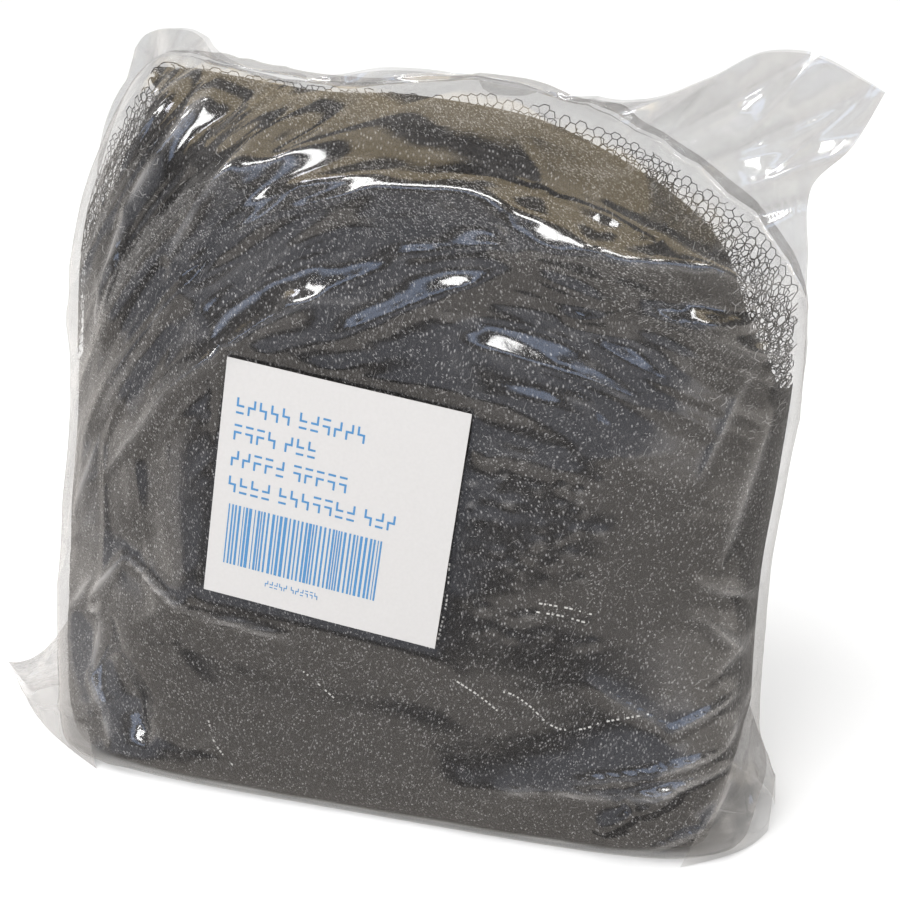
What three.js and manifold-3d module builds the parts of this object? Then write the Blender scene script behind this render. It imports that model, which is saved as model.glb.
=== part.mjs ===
// A clear film bag packed with folded black hairnets, standing on its sealed bottom.
// Millimetres, +Z up. The label is on the -Y side.
import * as THREE from 'three';
import Module from 'manifold-3d';
import { mergeVertices } from 'three/addons/utils/BufferGeometryUtils.js';

const wasm = await Module();
wasm.setup();

// Driving sizes
const bagWidth = 264; // of the filled bag
const bagDepth = 104;
const packHeight = 250; // from the floor to the top of the nets
const headroom = 12; // from there to the bag's mouth
const filmWall = 1;
const mouthGap = 2.8; // between the inner faces where the bag is empty
const mouthSway = 7; // how far the empty mouth waves off the bag's middle plane
const crownRoll = 32; // height over which the filled bag rounds over to its flat top
const middleStack = 30; // front to back
const stackRoll = 16; // height over which a stack's top rounds over
const stackGap = 0.6;
const seatGap = 0.4;
const labelWidth = 80;
const labelHeight = 83;
const labelThick = 0.8;
const labelTilt = 8; // degrees
const labelAcross = -10; // its centre, from the middle of the bag
const labelUp = 124;
const tuftLength = 17;
const tuftWidth = 11;
const tuftAcross = -80;
const flapThick = 2;
const netThick = 1;
const netEase = 0.8; // from the film to a loose net, and from there to the stacks
const netCell = 10; // coarse stand-in for the real 3 mm cell
const netCord = 1.8;

const bagHeight = packHeight + headroom;
const emptyDepth = mouthGap / 2 + filmWall;
const halfWidth = bagWidth / 2;
const halfDepth = bagDepth / 2;

// Sections of the bag: up is a share of the mouth's height, left and right of the half
// width, front and back of the half depth. square is the outline's exponent, where 2 is an
// ellipse and more is squarer.
const bagSections = [
  { up: 0, left: -0.94, right: 0.9, front: 0.74, back: 0.74, square: 5 },
  { up: 0.02, left: -0.985, right: 0.95, front: 0.8, back: 0.8, square: 5 },
  { up: 0.1, left: -0.995, right: 0.93, front: 0.88, back: 0.87, square: 4.2 },
  { up: 0.33, left: -0.985, right: 0.935, front: 0.97, back: 0.96, square: 2.8 },
  { up: 0.49, left: -0.95, right: 0.965, front: 1, back: 1, square: 2.6 },
  { up: 0.63, left: -0.92, right: 0.985, front: 0.99, back: 1, square: 2.6 },
  { up: 0.77, left: -0.885, right: 0.965, front: 0.94, back: 0.95, square: 2.6 },
  { up: 0.85, left: -0.85, right: 0.965, front: 0.91, back: 0.9, square: 2.6 },
  { up: 0.92, left: -0.79, right: 1.06, front: 0.88, back: 0.87, square: 2.6 },
  { up: 1, left: -0.7, right: 1.12, front: 0.86, back: 0.85, square: 2.6 },
];

// The mouth's edge, up as a share of the bag's height, and the crest of what fills the
// bag, up as a share of the pack's height: across is a share of the half width in both.
const mouthEdge = [
  { across: -0.75, up: 0.95 },
  { across: -0.68, up: 0.99 },
  { across: -0.55, up: 1 },
  { across: -0.45, up: 0.97 },
  { across: -0.28, up: 0.95 },
  { across: -0.05, up: 0.97 },
  { across: 0.25, up: 0.95 },
  { across: 0.56, up: 0.943 },
  { across: 0.72, up: 0.98 },
  { across: 0.85, up: 1.018 },
  { across: 0.98, up: 1.017 },
  { across: 1.12, up: 0.98 },
];
const fillCrest = [
  { across: -0.95, up: 0.72 },
  { across: -0.86, up: 0.82 },
  { across: -0.76, up: 0.935 },
  { across: -0.65, up: 1.01 },
  { across: -0.5, up: 1.01 },
  { across: -0.2, up: 0.995 },
  { across: 0.2, up: 1 },
  { across: 0.47, up: 0.97 },
  { across: 0.68, up: 0.91 },
  { across: 0.85, up: 0.84 },
  { across: 0.97, up: 0.75 },
  { across: 1.05, up: 0.68 },
];

// The main folds of the film, each along a line between two points: across as a share of
// the half width, up of the bag's height, out of the half depth and wide of the half
// width. A negative out is a dent, and side is -1 on the front and 1 on the back.
const folds = [
  { side: -1, across: -0.78, up: 0.84, toAcross: -0.6, toUp: 0.96, out: -0.3, wide: 0.26 },
  { side: -1, across: -0.66, up: 0.68, toAcross: -0.33, toUp: 0.85, out: 0.1, wide: 0.08 },
  { side: -1, across: -0.62, up: 0.56, toAcross: -0.16, toUp: 0.71, out: 0.06, wide: 0.08 },
  { side: -1, across: 0.4, up: 0.84, toAcross: 0.85, toUp: 0.78, out: 0.08, wide: 0.08 },
  { side: -1, across: 0.32, up: 0.73, toAcross: 0.62, toUp: 0.72, out: -0.06, wide: 0.08 },
  { side: -1, across: -0.64, up: 0.36, toAcross: 0.18, toUp: 0.25, out: -0.07, wide: 0.1 },
  { side: -1, across: -0.92, up: 0.3, toAcross: -0.7, toUp: 0.12, out: -0.12, wide: 0.1 },
  { side: -1, across: 0.25, up: 0.08, toAcross: 0.9, toUp: 0.18, out: 0.07, wide: 0.08 },
  { side: 1, across: -0.7, up: 0.2, toAcross: -0.1, toUp: 0.33, out: -0.08, wide: 0.1 },
  { side: 1, across: -0.1, up: 0.62, toAcross: 0.7, toUp: 0.5, out: 0.08, wide: 0.1 },
  { side: 1, across: -0.7, up: 0.72, toAcross: 0.1, toUp: 0.82, out: -0.1, wide: 0.12 },
];

// The crest of each stack: across as a share of the half width, up of the pack's height
const stackCrests = {
  front: [
    { across: -1.05, up: 0.52 },
    { across: -0.84, up: 0.6 },
    { across: -0.61, up: 0.71 },
    { across: -0.33, up: 0.87 },
    { across: -0.05, up: 0.91 },
    { across: 0.28, up: 0.9 },
    { across: 0.5, up: 0.87 },
    { across: 0.68, up: 0.79 },
    { across: 0.86, up: 0.66 },
    { across: 1.05, up: 0.56 },
  ],
  middle: [
    { across: -1.05, up: 0.5 },
    { across: -0.85, up: 0.72 },
    { across: -0.75, up: 0.87 },
    { across: -0.6, up: 0.955 },
    { across: -0.3, up: 0.965 },
    { across: 0.25, up: 0.97 },
    { across: 0.45, up: 0.93 },
    { across: 0.62, up: 0.83 },
    { across: 0.8, up: 0.7 },
    { across: 1.05, up: 0.55 },
  ],
  back: [
    { across: -1.05, up: 0.55 },
    { across: -0.84, up: 0.74 },
    { across: -0.7, up: 0.88 },
    { across: -0.4, up: 0.93 },
    { across: 0, up: 0.95 },
    { across: 0.35, up: 0.94 },
    { across: 0.6, up: 0.86 },
    { across: 0.8, up: 0.72 },
    { across: 1.05, up: 0.6 },
  ],
};

// Flaps of the sealed bottom: root is where the flap starts inside the bag's side and
// reach how far its tip stands beyond it, as shares of the half width. The heights are
// shares of the bag's height.
const cornerFlaps = [
  { side: -1, root: 0.9, reach: 1.25, low: 0.02, tipLow: 0.05, tipHigh: 0.065, high: 0.16 },
  { side: 1, root: 0.84, reach: 1.0, low: 0.006, tipLow: 0.01, tipHigh: 0.095, high: 0.12 },
];

// Loose single nets on the front: from and to across, as shares of the half width, and
// low, as a share of the pack's height; the top edge stays margin under the crest.
const looseNets = [
  { name: 'loose_net_right', from: 0.5, to: 0.93, low: 0.66, columns: 6, rows: 8 },
  { name: 'loose_net_top', from: 0.03, to: 0.47, low: 0.88, columns: 6, rows: 5 },
  { name: 'loose_net_left', from: -0.8, to: -0.58, low: 0.78, columns: 3, rows: 6 },
];
const looseMargin = 4; // from a loose net's top edge up to the crest

// Rows of the bag's surface: shares of the height up to where it rounds over, then counts
// over the round and up the empty mouth
const bodyRows = [0, 0.006, 0.025, 0.08, 0.18, 0.3, 0.42, 0.54, 0.66, 0.78, 0.9, 1];
const crownRows = 7;
const mouthRows = 3;
const crownPower = 2.4; // 2 rounds over as an ellipse does, and more is squarer
const bagColumns = 44;
const stackColumns = 28;
const stackBodyRows = 5;

// A smooth curve through one column of a table, level beyond its ends
function curveThrough(table, key, column) {
  const slopes = table.map((row, i) => {
    const before = table[Math.max(i - 1, 0)];
    const after = table[Math.min(i + 1, table.length - 1)];
    return (after[column] - before[column]) / (after[key] - before[key]);
  });
  return (at) => {
    const inside = THREE.MathUtils.clamp(at, table[0][key], table[table.length - 1][key]);
    let i = 0;
    while (i < table.length - 2 && inside > table[i + 1][key]) {
      i += 1;
    }
    const step = table[i + 1][key] - table[i][key];
    const s = (inside - table[i][key]) / step;
    const rise = table[i + 1][column] - table[i][column];
    const lead = slopes[i] * step - rise;
    const trail = slopes[i + 1] * step - rise;
    return table[i][column] + rise * s + s * (1 - s) * (lead * (1 - s) - trail * s);
  };
}

const leftAt = curveThrough(bagSections, 'up', 'left');
const rightAt = curveThrough(bagSections, 'up', 'right');
const frontAt = curveThrough(bagSections, 'up', 'front');
const backAt = curveThrough(bagSections, 'up', 'back');
const squareAt = curveThrough(bagSections, 'up', 'square');
const mouthAt = curveThrough(mouthEdge, 'across', 'up');
const crestAt = curveThrough(fillCrest, 'across', 'up');

// 1 up to the roll's foot, then a quarter round that ends at 0 on the crest
function rollOver(z, crest, roll) {
  const share = THREE.MathUtils.clamp((z - crest + roll) / roll, 0, 1);
  return Math.sqrt(1 - share ** crownPower);
}

// How far the folds push one face of the film out at a point
function foldOut(x, z, side) {
  const point = new THREE.Vector3(x, 0, z);
  const nearest = new THREE.Vector3();
  let out = 0;
  for (const fold of folds.filter((row) => row.side === side)) {
    const start = new THREE.Vector3(fold.across * halfWidth, 0, fold.up * bagHeight);
    const end = new THREE.Vector3(fold.toAcross * halfWidth, 0, fold.toUp * bagHeight);
    new THREE.Line3(start, end).closestPointToPoint(point, true, nearest);
    const distance = nearest.distanceTo(point) / (fold.wide * halfWidth);
    out += fold.out * halfDepth * Math.exp(-distance * distance);
  }
  return out;
}

// The depth of a face of the bag. toFace is 0 at the bag's sides and 1 in the middle of
// its front and back; grow moves the film's outer face outwards. Where the bag is empty,
// both its faces wave together.
function faceDepth(x, z, up, side, toFace, grow) {
  const full = (side < 0 ? frontAt(up) : backAt(up)) * halfDepth;
  const crown = rollOver(z, crestAt(x / halfWidth) * packHeight + grow, crownRoll);
  const out = full * crown + emptyDepth * (1 - crown) + foldOut(x, z, side) * crown;
  const sway = mouthSway * Math.sin((x / halfWidth) * Math.PI * 1.5) * (1 - crown);
  return side * toFace * (out + grow) + sway;
}

// Height of one row over a place across: up to the round, over it, and up to the mouth
function rowHeight(row, x, grow) {
  const crest = crestAt(x / halfWidth) * packHeight + grow;
  const floor = Math.min(-grow, filmWall + seatGap);
  const roundRow = row - bodyRows.length + 1;
  if (roundRow <= 0) {
    return THREE.MathUtils.lerp(floor, crest - crownRoll, bodyRows[row]);
  }
  if (roundRow <= crownRows) {
    return crest - crownRoll + crownRoll * roundShare(roundRow / crownRows);
  }
  return THREE.MathUtils.lerp(crest, mouthAt(x / halfWidth) * bagHeight, (roundRow - crownRows) / mouthRows);
}

// Spreads rows evenly round rollOver's curve
function roundShare(share) {
  return Math.sin((share * Math.PI) / 2) ** (2 / crownPower);
}

// A point of the bag: turn runs once around it, and row from the floor up. The section's
// height depends on the place across, so the two are settled by turns.
function bagPoint(turn, row, grow) {
  const angle = turn * Math.PI * 2;
  let up = row / (bodyRows.length + crownRows + mouthRows);
  let x = 0;
  for (let round = 0; round < 6; round += 1) {
    const left = leftAt(up) * halfWidth - grow;
    const right = rightAt(up) * halfWidth + grow;
    const across = Math.sign(Math.cos(angle)) * Math.abs(Math.cos(angle)) ** (2 / squareAt(up));
    x = (left + right) / 2 + ((right - left) / 2) * across;
    up = rowHeight(row, x, grow) / (mouthAt(x / halfWidth) * bagHeight);
  }
  const side = Math.sign(Math.sin(angle));
  const toFace = Math.abs(Math.sin(angle)) ** (2 / squareAt(up));
  const z = rowHeight(row, x, grow);
  return new THREE.Vector3(x, faceDepth(x, z, up, side, toFace, grow), z);
}

// The same face, found from a place across and up instead
function facePoint(x, z, side, grow) {
  const up = z / (mouthAt(x / halfWidth) * bagHeight);
  const left = leftAt(up) * halfWidth - grow;
  const right = rightAt(up) * halfWidth + grow;
  const share = Math.min(Math.abs((2 * x - left - right) / (right - left)), 1);
  const toFace = (1 - share ** squareAt(up)) ** (1 / squareAt(up));
  return new THREE.Vector3(x, faceDepth(x, z, up, side, toFace, grow), z);
}

// Rings of points around the bag, from the floor up
function bagRings(grow) {
  const rings = [];
  for (let row = 0; row < bodyRows.length + crownRows + mouthRows; row += 1) {
    const ring = [];
    for (let column = 0; column < bagColumns; column += 1) {
      ring.push(bagPoint(column / bagColumns, row, grow));
    }
    rings.push(ring);
  }
  return rings;
}

// Triangles between two rings, facing out when the rings turn anticlockwise and rise
function bandFaces(faces, lower, upper, count) {
  for (let i = 0; i < count; i += 1) {
    const next = (i + 1) % count;
    faces.push(lower + i, lower + next, upper + next, lower + i, upper + next, upper + i);
  }
}

// Triangles across a ring, from each point of its front to the one behind it
function capFaces(faces, ring, count, upward) {
  for (let i = 0; i < count / 2; i += 1) {
    const [a, b] = [ring + i, ring + i + 1];
    const [c, d] = [ring + ((count - i) % count), ring + count - i - 1];
    faces.push(...(upward ? [a, b, d, a, d, c] : [a, d, b, a, c, d]));
  }
}

// A closed body through rings, capped at both ends
function bodyOf(rings) {
  const count = rings[0].length;
  const faces = [];
  for (let row = 1; row < rings.length; row += 1) {
    bandFaces(faces, (row - 1) * count, row * count, count);
  }
  capFaces(faces, 0, count, false);
  capFaces(faces, (rings.length - 1) * count, count, true);
  return solidOf(rings.flat(), faces);
}

function solidOf(points, faces) {
  const geometry = new THREE.BufferGeometry().setFromPoints(points);
  geometry.setIndex(faces);
  return solidFrom(geometry);
}

// A solid from a closed geometry, without the triangles that merging has emptied
function solidFrom(geometry) {
  geometry.deleteAttribute('normal');
  geometry.deleteAttribute('uv');
  const merged = mergeVertices(geometry, 1e-4);
  const corners = merged.index.array;
  const triVerts = [];
  for (let i = 0; i < corners.length; i += 3) {
    const [a, b, c] = corners.slice(i, i + 3);
    if (a !== b && b !== c && c !== a) {
      triVerts.push(a, b, c);
    }
  }
  return new wasm.Manifold(new wasm.Mesh({
    numProp: 3,
    vertProperties: new Float32Array(merged.attributes.position.array),
    triVerts: new Uint32Array(triVerts),
  }));
}

// The whole bag as a full body, grown or shrunk by a distance
function bagBody(grow) {
  return bodyOf(bagRings(grow));
}

// What the film leaves to the loose nets, and what those leave to the stacks
const netDepth = filmWall + netEase;
const stackDepth = netDepth + netThick + netEase;
const netRoom = bagBody(-filmWall - seatGap).subtract(bagBody(-stackDepth + seatGap));
const stackRoom = bagBody(-stackDepth);

// The film: the full bag with its flaps, less the cavity, which runs out at the mouth
function makeFilm() {
  const inner = bagRings(-filmWall);
  const mouth = inner[inner.length - 1].map((point) => point.clone().setZ(point.z + headroom));
  const bag = cornerFlaps.reduce((body, flap) => body.add(makeFlap(flap)), bagBody(0));
  return bag.subtract(bodyOf([...inner, mouth]));
}

// One flap of the bottom seal, a flat tongue from inside the film's wall out to its tip
function makeFlap(flap) {
  const root = flap.side * flap.root * halfWidth;
  const tip = flap.side * flap.reach * halfWidth;
  const waist = (root + 2 * tip) / 3;
  const outline = new THREE.Shape();
  outline.moveTo(root, flap.low * bagHeight);
  outline.quadraticCurveTo(waist, flap.low * bagHeight, tip, flap.tipLow * bagHeight);
  outline.lineTo(tip, flap.tipHigh * bagHeight);
  outline.quadraticCurveTo(waist, flap.high * bagHeight, root, flap.high * bagHeight);
  const plate = new THREE.ExtrudeGeometry(outline, { depth: flapThick, bevelEnabled: false, curveSegments: 6 });
  plate.translate(0, 0, -flapThick / 2);
  plate.rotateX(Math.PI / 2);
  return solidFrom(plate);
}

// The label, just off the film's front and bent to its bulge
function makeLabel() {
  const shell = bagBody(seatGap + labelThick).subtract(bagBody(seatGap));
  const card = new THREE.BoxGeometry(labelWidth, bagDepth, labelHeight);
  card.translate(0, -bagDepth / 2 - emptyDepth, 0);
  card.rotateY(THREE.MathUtils.degToRad(labelTilt));
  card.translate(labelAcross, 0, labelUp);
  return shell.intersect(solidFrom(card));
}

// A stack of folded nets between two depths, rounded over at its crest and cut to the
// room inside the bag
function makeStack(crest, near, far) {
  const topAt = curveThrough(crest, 'across', 'up');
  const rings = [];
  for (let row = 0; row <= stackBodyRows + crownRows; row += 1) {
    const ring = [];
    for (let column = 0; column < stackColumns; column += 1) {
      const angle = (column / stackColumns) * Math.PI * 2;
      const x = 1.05 * halfWidth * Math.sign(Math.cos(angle)) * Math.abs(Math.cos(angle)) ** 0.7;
      const top = topAt(x / halfWidth) * packHeight;
      const body = Math.min(row / stackBodyRows, 1) * (top - stackRoll);
      const z = body + stackRoll * roundShare(Math.max(row - stackBodyRows, 0) / crownRows);
      const thick = ((far - near) / 2) * rollOver(z, top, stackRoll) * Math.abs(Math.sin(angle)) ** 0.12;
      ring.push(new THREE.Vector3(x, (near + far) / 2 + Math.sign(Math.sin(angle)) * thick, z));
    }
    rings.push(ring);
  }
  return bodyOf(rings).intersect(stackRoom);
}

function makeStacks() {
  const split = middleStack / 2;
  return {
    net_stack_front: makeStack(stackCrests.front, -halfDepth, -split - stackGap),
    net_stack_middle: makeStack(stackCrests.middle, -split, split),
    net_stack_back: makeStack(stackCrests.back, split + stackGap, halfDepth),
  };
}

// A tuft of knotted net that stands on the middle stack at the top left
function makeTuft() {
  const uphill = tuftAcross + tuftLength / 4;
  const seat = curveThrough(stackCrests.middle, 'across', 'up')(uphill / halfWidth) * packHeight;
  const knot = new THREE.SphereGeometry(0.5, 12, 8);
  knot.scale(tuftLength, tuftWidth, tuftWidth);
  knot.translate(tuftAcross, 0, seat + seatGap + tuftWidth / 2);
  return solidFrom(knot).intersect(bagBody(-netDepth));
}

// A loose net: hexagons in staggered rows, spread over a patch of the film's inner face.
// Each cell is a ring of six quads, front and back, with walls around its hole.
function makeLooseNet(net) {
  const place = (across, climb, inward) => {
    const x = THREE.MathUtils.lerp(net.from, net.to, across) * halfWidth;
    const top = crestAt(x / halfWidth) * packHeight - looseMargin;
    const low = net.low * packHeight;
    const lean = 1 - Math.max(1 - climb, 0) ** 1.25; // closer rows where the face rolls over
    const z = low + (top - low) * lean;
    return facePoint(x, z, -1, -inward);
  };
  const rise = Math.sqrt(3) / 2;
  const wide = net.columns + 0.5;
  const tall = (net.rows - 1) * rise + 2 / Math.sqrt(3);
  const hole = 1 - netCord / netCell;
  const points = [];
  const faces = [];
  const edges = new Map();
  for (let row = 0; row < net.rows; row += 1) {
    for (let column = 0; column < net.columns; column += 1) {
      const across = column + 0.5 + (row % 2) / 2;
      const climb = row * rise + 1 / Math.sqrt(3);
      const first = points.length;
      for (const size of [1, hole]) {
        for (const inward of [netDepth, netDepth + netThick]) {
          for (let corner = 0; corner < 6; corner += 1) {
            const angle = ((corner + 0.5) / 6) * Math.PI * 2;
            const u = (across + (size * Math.cos(angle)) / Math.sqrt(3)) / wide;
            const v = (climb + (size * Math.sin(angle)) / Math.sqrt(3)) / tall;
            points.push(place(u, v, inward));
          }
        }
      }
      addCell(faces, edges, points, first);
    }
  }
  for (const { a, b } of edges.values()) {
    faces.push(a, a + 6, b + 6, a, b + 6, b);
  }
  return solidOf(points, faces).intersect(netRoom);
}

// Faces of one cell, whose corners come as outer front, outer back, hole front and hole
// back. An outer edge that two cells share is struck off the list of edges.
function addCell(faces, edges, points, first) {
  const nameOf = (index) => points[index].toArray().map((value) => value.toFixed(2)).join();
  for (let i = 0; i < 6; i += 1) {
    const next = (i + 1) % 6;
    const [a, b, backA, backB] = [first + i, first + next, first + 6 + i, first + 6 + next];
    const [c, d, backC, backD] = [a + 12, b + 12, backA + 12, backB + 12];
    faces.push(a, b, d, a, d, c);
    faces.push(backA, backD, backB, backA, backC, backD);
    faces.push(c, d, backD, c, backD, backC);
    const twin = `${nameOf(b)} ${nameOf(a)}`;
    if (edges.has(twin)) {
      edges.delete(twin);
    } else {
      edges.set(`${nameOf(a)} ${nameOf(b)}`, { a, b });
    }
  }
}

function finish(color, roughness, opacity = 1) {
  return new THREE.MeshStandardMaterial({ color, roughness, opacity, transparent: opacity < 1 });
}

const clearFilm = finish(0xdfe3e6, 0.12, 0.3);
const coatedPaper = finish(0xf2f1ee, 0.7);
const blackNylon = finish(0x24211f, 0.85);

function meshOf(name, solid, material) {
  const { vertProperties, triVerts } = solid.getMesh();
  const geometry = new THREE.BufferGeometry();
  geometry.setAttribute('position', new THREE.BufferAttribute(new Float32Array(vertProperties), 3));
  geometry.setIndex(Array.from(triVerts));
  geometry.computeVertexNormals();
  const mesh = new THREE.Mesh(geometry, material);
  mesh.name = name;
  return mesh;
}

const baggedNets = new THREE.Group();
baggedNets.add(meshOf('film_bag', makeFilm(), clearFilm));
baggedNets.add(meshOf('label', makeLabel(), coatedPaper));
for (const [name, stack] of Object.entries(makeStacks())) {
  baggedNets.add(meshOf(name, stack, blackNylon));
}
baggedNets.add(meshOf('net_tuft', makeTuft(), blackNylon));
for (const net of looseNets) {
  baggedNets.add(meshOf(net.name, makeLooseNet(net), blackNylon));
}

// The origin is on the floor, under the middle of the whole
const extent = new THREE.Box3().setFromObject(baggedNets);
baggedNets.position.set(-(extent.min.x + extent.max.x) / 2, -(extent.min.y + extent.max.y) / 2, 0);

export default baggedNets;
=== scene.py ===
# A clear polythene bag packed with black honeycomb hairnets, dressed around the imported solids
import bpy
import numpy as np
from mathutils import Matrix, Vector


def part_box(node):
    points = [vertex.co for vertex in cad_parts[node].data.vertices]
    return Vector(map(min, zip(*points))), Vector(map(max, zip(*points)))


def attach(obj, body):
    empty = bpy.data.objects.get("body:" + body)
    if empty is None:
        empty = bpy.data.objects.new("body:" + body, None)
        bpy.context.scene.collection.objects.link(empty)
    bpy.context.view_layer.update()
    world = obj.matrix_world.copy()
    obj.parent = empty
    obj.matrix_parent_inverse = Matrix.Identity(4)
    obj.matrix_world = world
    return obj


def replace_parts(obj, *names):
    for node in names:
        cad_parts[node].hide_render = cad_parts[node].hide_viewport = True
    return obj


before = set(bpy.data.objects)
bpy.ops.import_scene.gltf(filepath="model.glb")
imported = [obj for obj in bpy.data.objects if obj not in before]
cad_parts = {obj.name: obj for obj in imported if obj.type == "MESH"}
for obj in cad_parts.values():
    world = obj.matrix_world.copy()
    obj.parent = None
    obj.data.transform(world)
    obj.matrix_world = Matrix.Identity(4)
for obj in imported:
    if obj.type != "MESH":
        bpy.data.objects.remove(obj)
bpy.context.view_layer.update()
mm = 0.001  # every length below is in millimetres, and meshes are written in metres

# The bag's driving sizes, as in the solids
bag = {
    "halfWidth": 132.0,
    "halfDepth": 52.0,
    "packHeight": 250.0,
    "bagHeight": 262.0,
    "crownRoll": 32.0,     # height over which the filled bag rounds over
    "crownPower": 2.4,
    "emptyDepth": 1.6,     # half the distance between the plies where the bag is empty
    "mouthSway": 7.0,
}
halfWidth, halfDepth, packHeight = bag["halfWidth"], bag["halfDepth"], bag["packHeight"]
sectionTable = {  # shares of bagHeight, halfWidth and halfDepth; square is the outline's exponent
    "up": [0, 0.02, 0.1, 0.33, 0.49, 0.63, 0.77, 0.85, 0.92, 1],
    "left": [-0.94, -0.985, -0.995, -0.98, -0.935, -0.905, -0.885, -0.865, -0.82, -0.72],
    "right": [0.9, 0.95, 0.93, 0.935, 0.965, 0.985, 0.98, 0.975, 1.06, 1.12],
    "front": [0.74, 0.8, 0.88, 0.97, 1, 0.99, 0.94, 0.91, 0.88, 0.86],
    "back": [0.74, 0.8, 0.87, 0.96, 1, 1, 0.95, 0.9, 0.87, 0.85],
    "square": [5, 5, 4.2, 2.8, 2.6, 2.6, 2.6, 2.6, 2.6, 2.6],
}
mouthTable = {
    "across": [-0.75, -0.68, -0.55, -0.45, -0.28, -0.05, 0.25, 0.56, 0.72, 0.85, 0.98, 1.12],
    "up": [0.95, 0.99, 1, 0.97, 0.95, 0.97, 0.95, 0.943, 0.98, 1.018, 1.017, 0.98],
}
crestTable = {
    "across": [-0.95, -0.86, -0.76, -0.65, -0.5, -0.2, 0.2, 0.47, 0.68, 0.85, 0.97, 1.05],
    "up": [0.74, 0.84, 0.945, 1.01, 1.01, 0.995, 1, 0.97, 0.92, 0.862, 0.782, 0.7],
}
foldTable = [  # side, across, up, toAcross, toUp, out, wide: shares, and a negative out is a dent
    (-1, -0.78, 0.84, -0.6, 0.96, -0.3, 0.26),
    (-1, -0.66, 0.68, -0.33, 0.85, 0.1, 0.08),
    (-1, -0.62, 0.56, -0.16, 0.71, 0.06, 0.08),
    (-1, 0.4, 0.84, 0.85, 0.78, 0.08, 0.08),
    (-1, 0.32, 0.73, 0.62, 0.72, -0.06, 0.08),
    (-1, -0.64, 0.36, 0.18, 0.25, -0.05, 0.1),
    (-1, -0.92, 0.3, -0.7, 0.12, -0.12, 0.1),
    (-1, 0.25, 0.08, 0.9, 0.18, 0.04, 0.08),
    (1, -0.7, 0.2, -0.1, 0.33, -0.08, 0.1),
    (1, -0.1, 0.62, 0.7, 0.5, 0.08, 0.1),
    (1, -0.7, 0.72, 0.1, 0.82, -0.1, 0.12),
]
flapReach = 1.25  # the left flap's tip, as a share of halfWidth: it is the bag's leftmost point

# Where the bag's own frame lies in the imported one
filmLow = np.array(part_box("film_bag")[0]) / mm
midLow, midHigh = (np.array(corner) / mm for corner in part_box("net_stack_middle"))
shift = np.array([filmLow[0] + flapReach * halfWidth, (midLow[1] + midHigh[1]) / 2, 0.0])


# A smooth curve through table points: cubic pieces whose slope at a point is that of the
# line between its neighbours, and level beyond the ends
def curveThrough(xs, ys):
    xs, ys = np.array(xs, float), np.array(ys, float)
    before = np.maximum(np.arange(len(xs)) - 1, 0)
    after = np.minimum(np.arange(len(xs)) + 1, len(xs) - 1)
    slopes = (ys[after] - ys[before]) / (xs[after] - xs[before])

    def value(at):
        at = np.clip(at, xs[0], xs[-1])
        i = np.clip(np.searchsorted(xs, at) - 1, 0, len(xs) - 2)
        step, rise = xs[i + 1] - xs[i], ys[i + 1] - ys[i]
        s = (at - xs[i]) / step
        lead, trail = slopes[i] * step - rise, slopes[i + 1] * step - rise
        return ys[i] + rise * s + s * (1 - s) * (lead * (1 - s) - trail * s)
    return value


sectionAt = {name: curveThrough(sectionTable["up"], sectionTable[name])
             for name in ("left", "right", "front", "back", "square")}
mouthAt = curveThrough(mouthTable["across"], mouthTable["up"])
crestAt = curveThrough(crestTable["across"], crestTable["up"])


# 1 up to the roll's foot, then a quarter round that ends at 0 on the crest
def rollOver(z, crest, roll):
    share = np.clip((z - crest + roll) / roll, 0, 1)
    return np.sqrt(np.maximum(1 - share ** bag["crownPower"], 0))


# The label's size, tilt and middle, then the plane in which its front lies flat, and how far it
# is from the film
labelSpec = {"width": 80.0, "height": 83.0, "tilt": 8.0, "across": -9.0, "up": 124.5, "thick": 0.25, "lift": 0.9,
             "depth": -51.6, "yaw": 0.035, "pitch": 0.02, "curl": 0.25}


# Place on the label: shares of its width and height from its middle
def labelShares(x, z):
    turn = np.radians(labelSpec["tilt"])
    dx, dz = x - labelSpec["across"], z - labelSpec["up"]
    u = dx * np.cos(turn) - dz * np.sin(turn)
    v = dx * np.sin(turn) + dz * np.cos(turn)
    return u / labelSpec["width"], v / labelSpec["height"]


# 0 under the label, rising to 1 over a margin given as a share of its size
def clearOfLabel(x, z, margin):
    u, v = labelShares(x, z)
    share = np.clip((np.maximum(np.abs(u), np.abs(v)) - 0.5) / margin, 0, 1)
    return share * share * (3 - 2 * share)


# Distance from points to a segment, and the share along it of the nearest point
def toSegment(x, z, ax, az, bx, bz):
    dx, dz = bx - ax, bz - az
    t = np.clip(((x - ax) * dx + (z - az) * dz) / max(dx * dx + dz * dz, 1e-9), 0, 1)
    return np.hypot(x - ax - t * dx, z - az - t * dz), t


def foldOut(x, z, side):
    out = np.zeros_like(x)
    for row in foldTable:
        if row[0] != side:
            continue
        ax, bx = row[1] * halfWidth, row[3] * halfWidth
        az, bz = row[2] * bag["bagHeight"], row[4] * bag["bagHeight"]
        away, _ = toSegment(x, z, ax, az, bx, bz)
        out += row[5] * halfDepth * np.exp(-(away / (row[6] * halfWidth)) ** 2)
    return out * clearOfLabel(x, z, 0.3) if side < 0 else out


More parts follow.
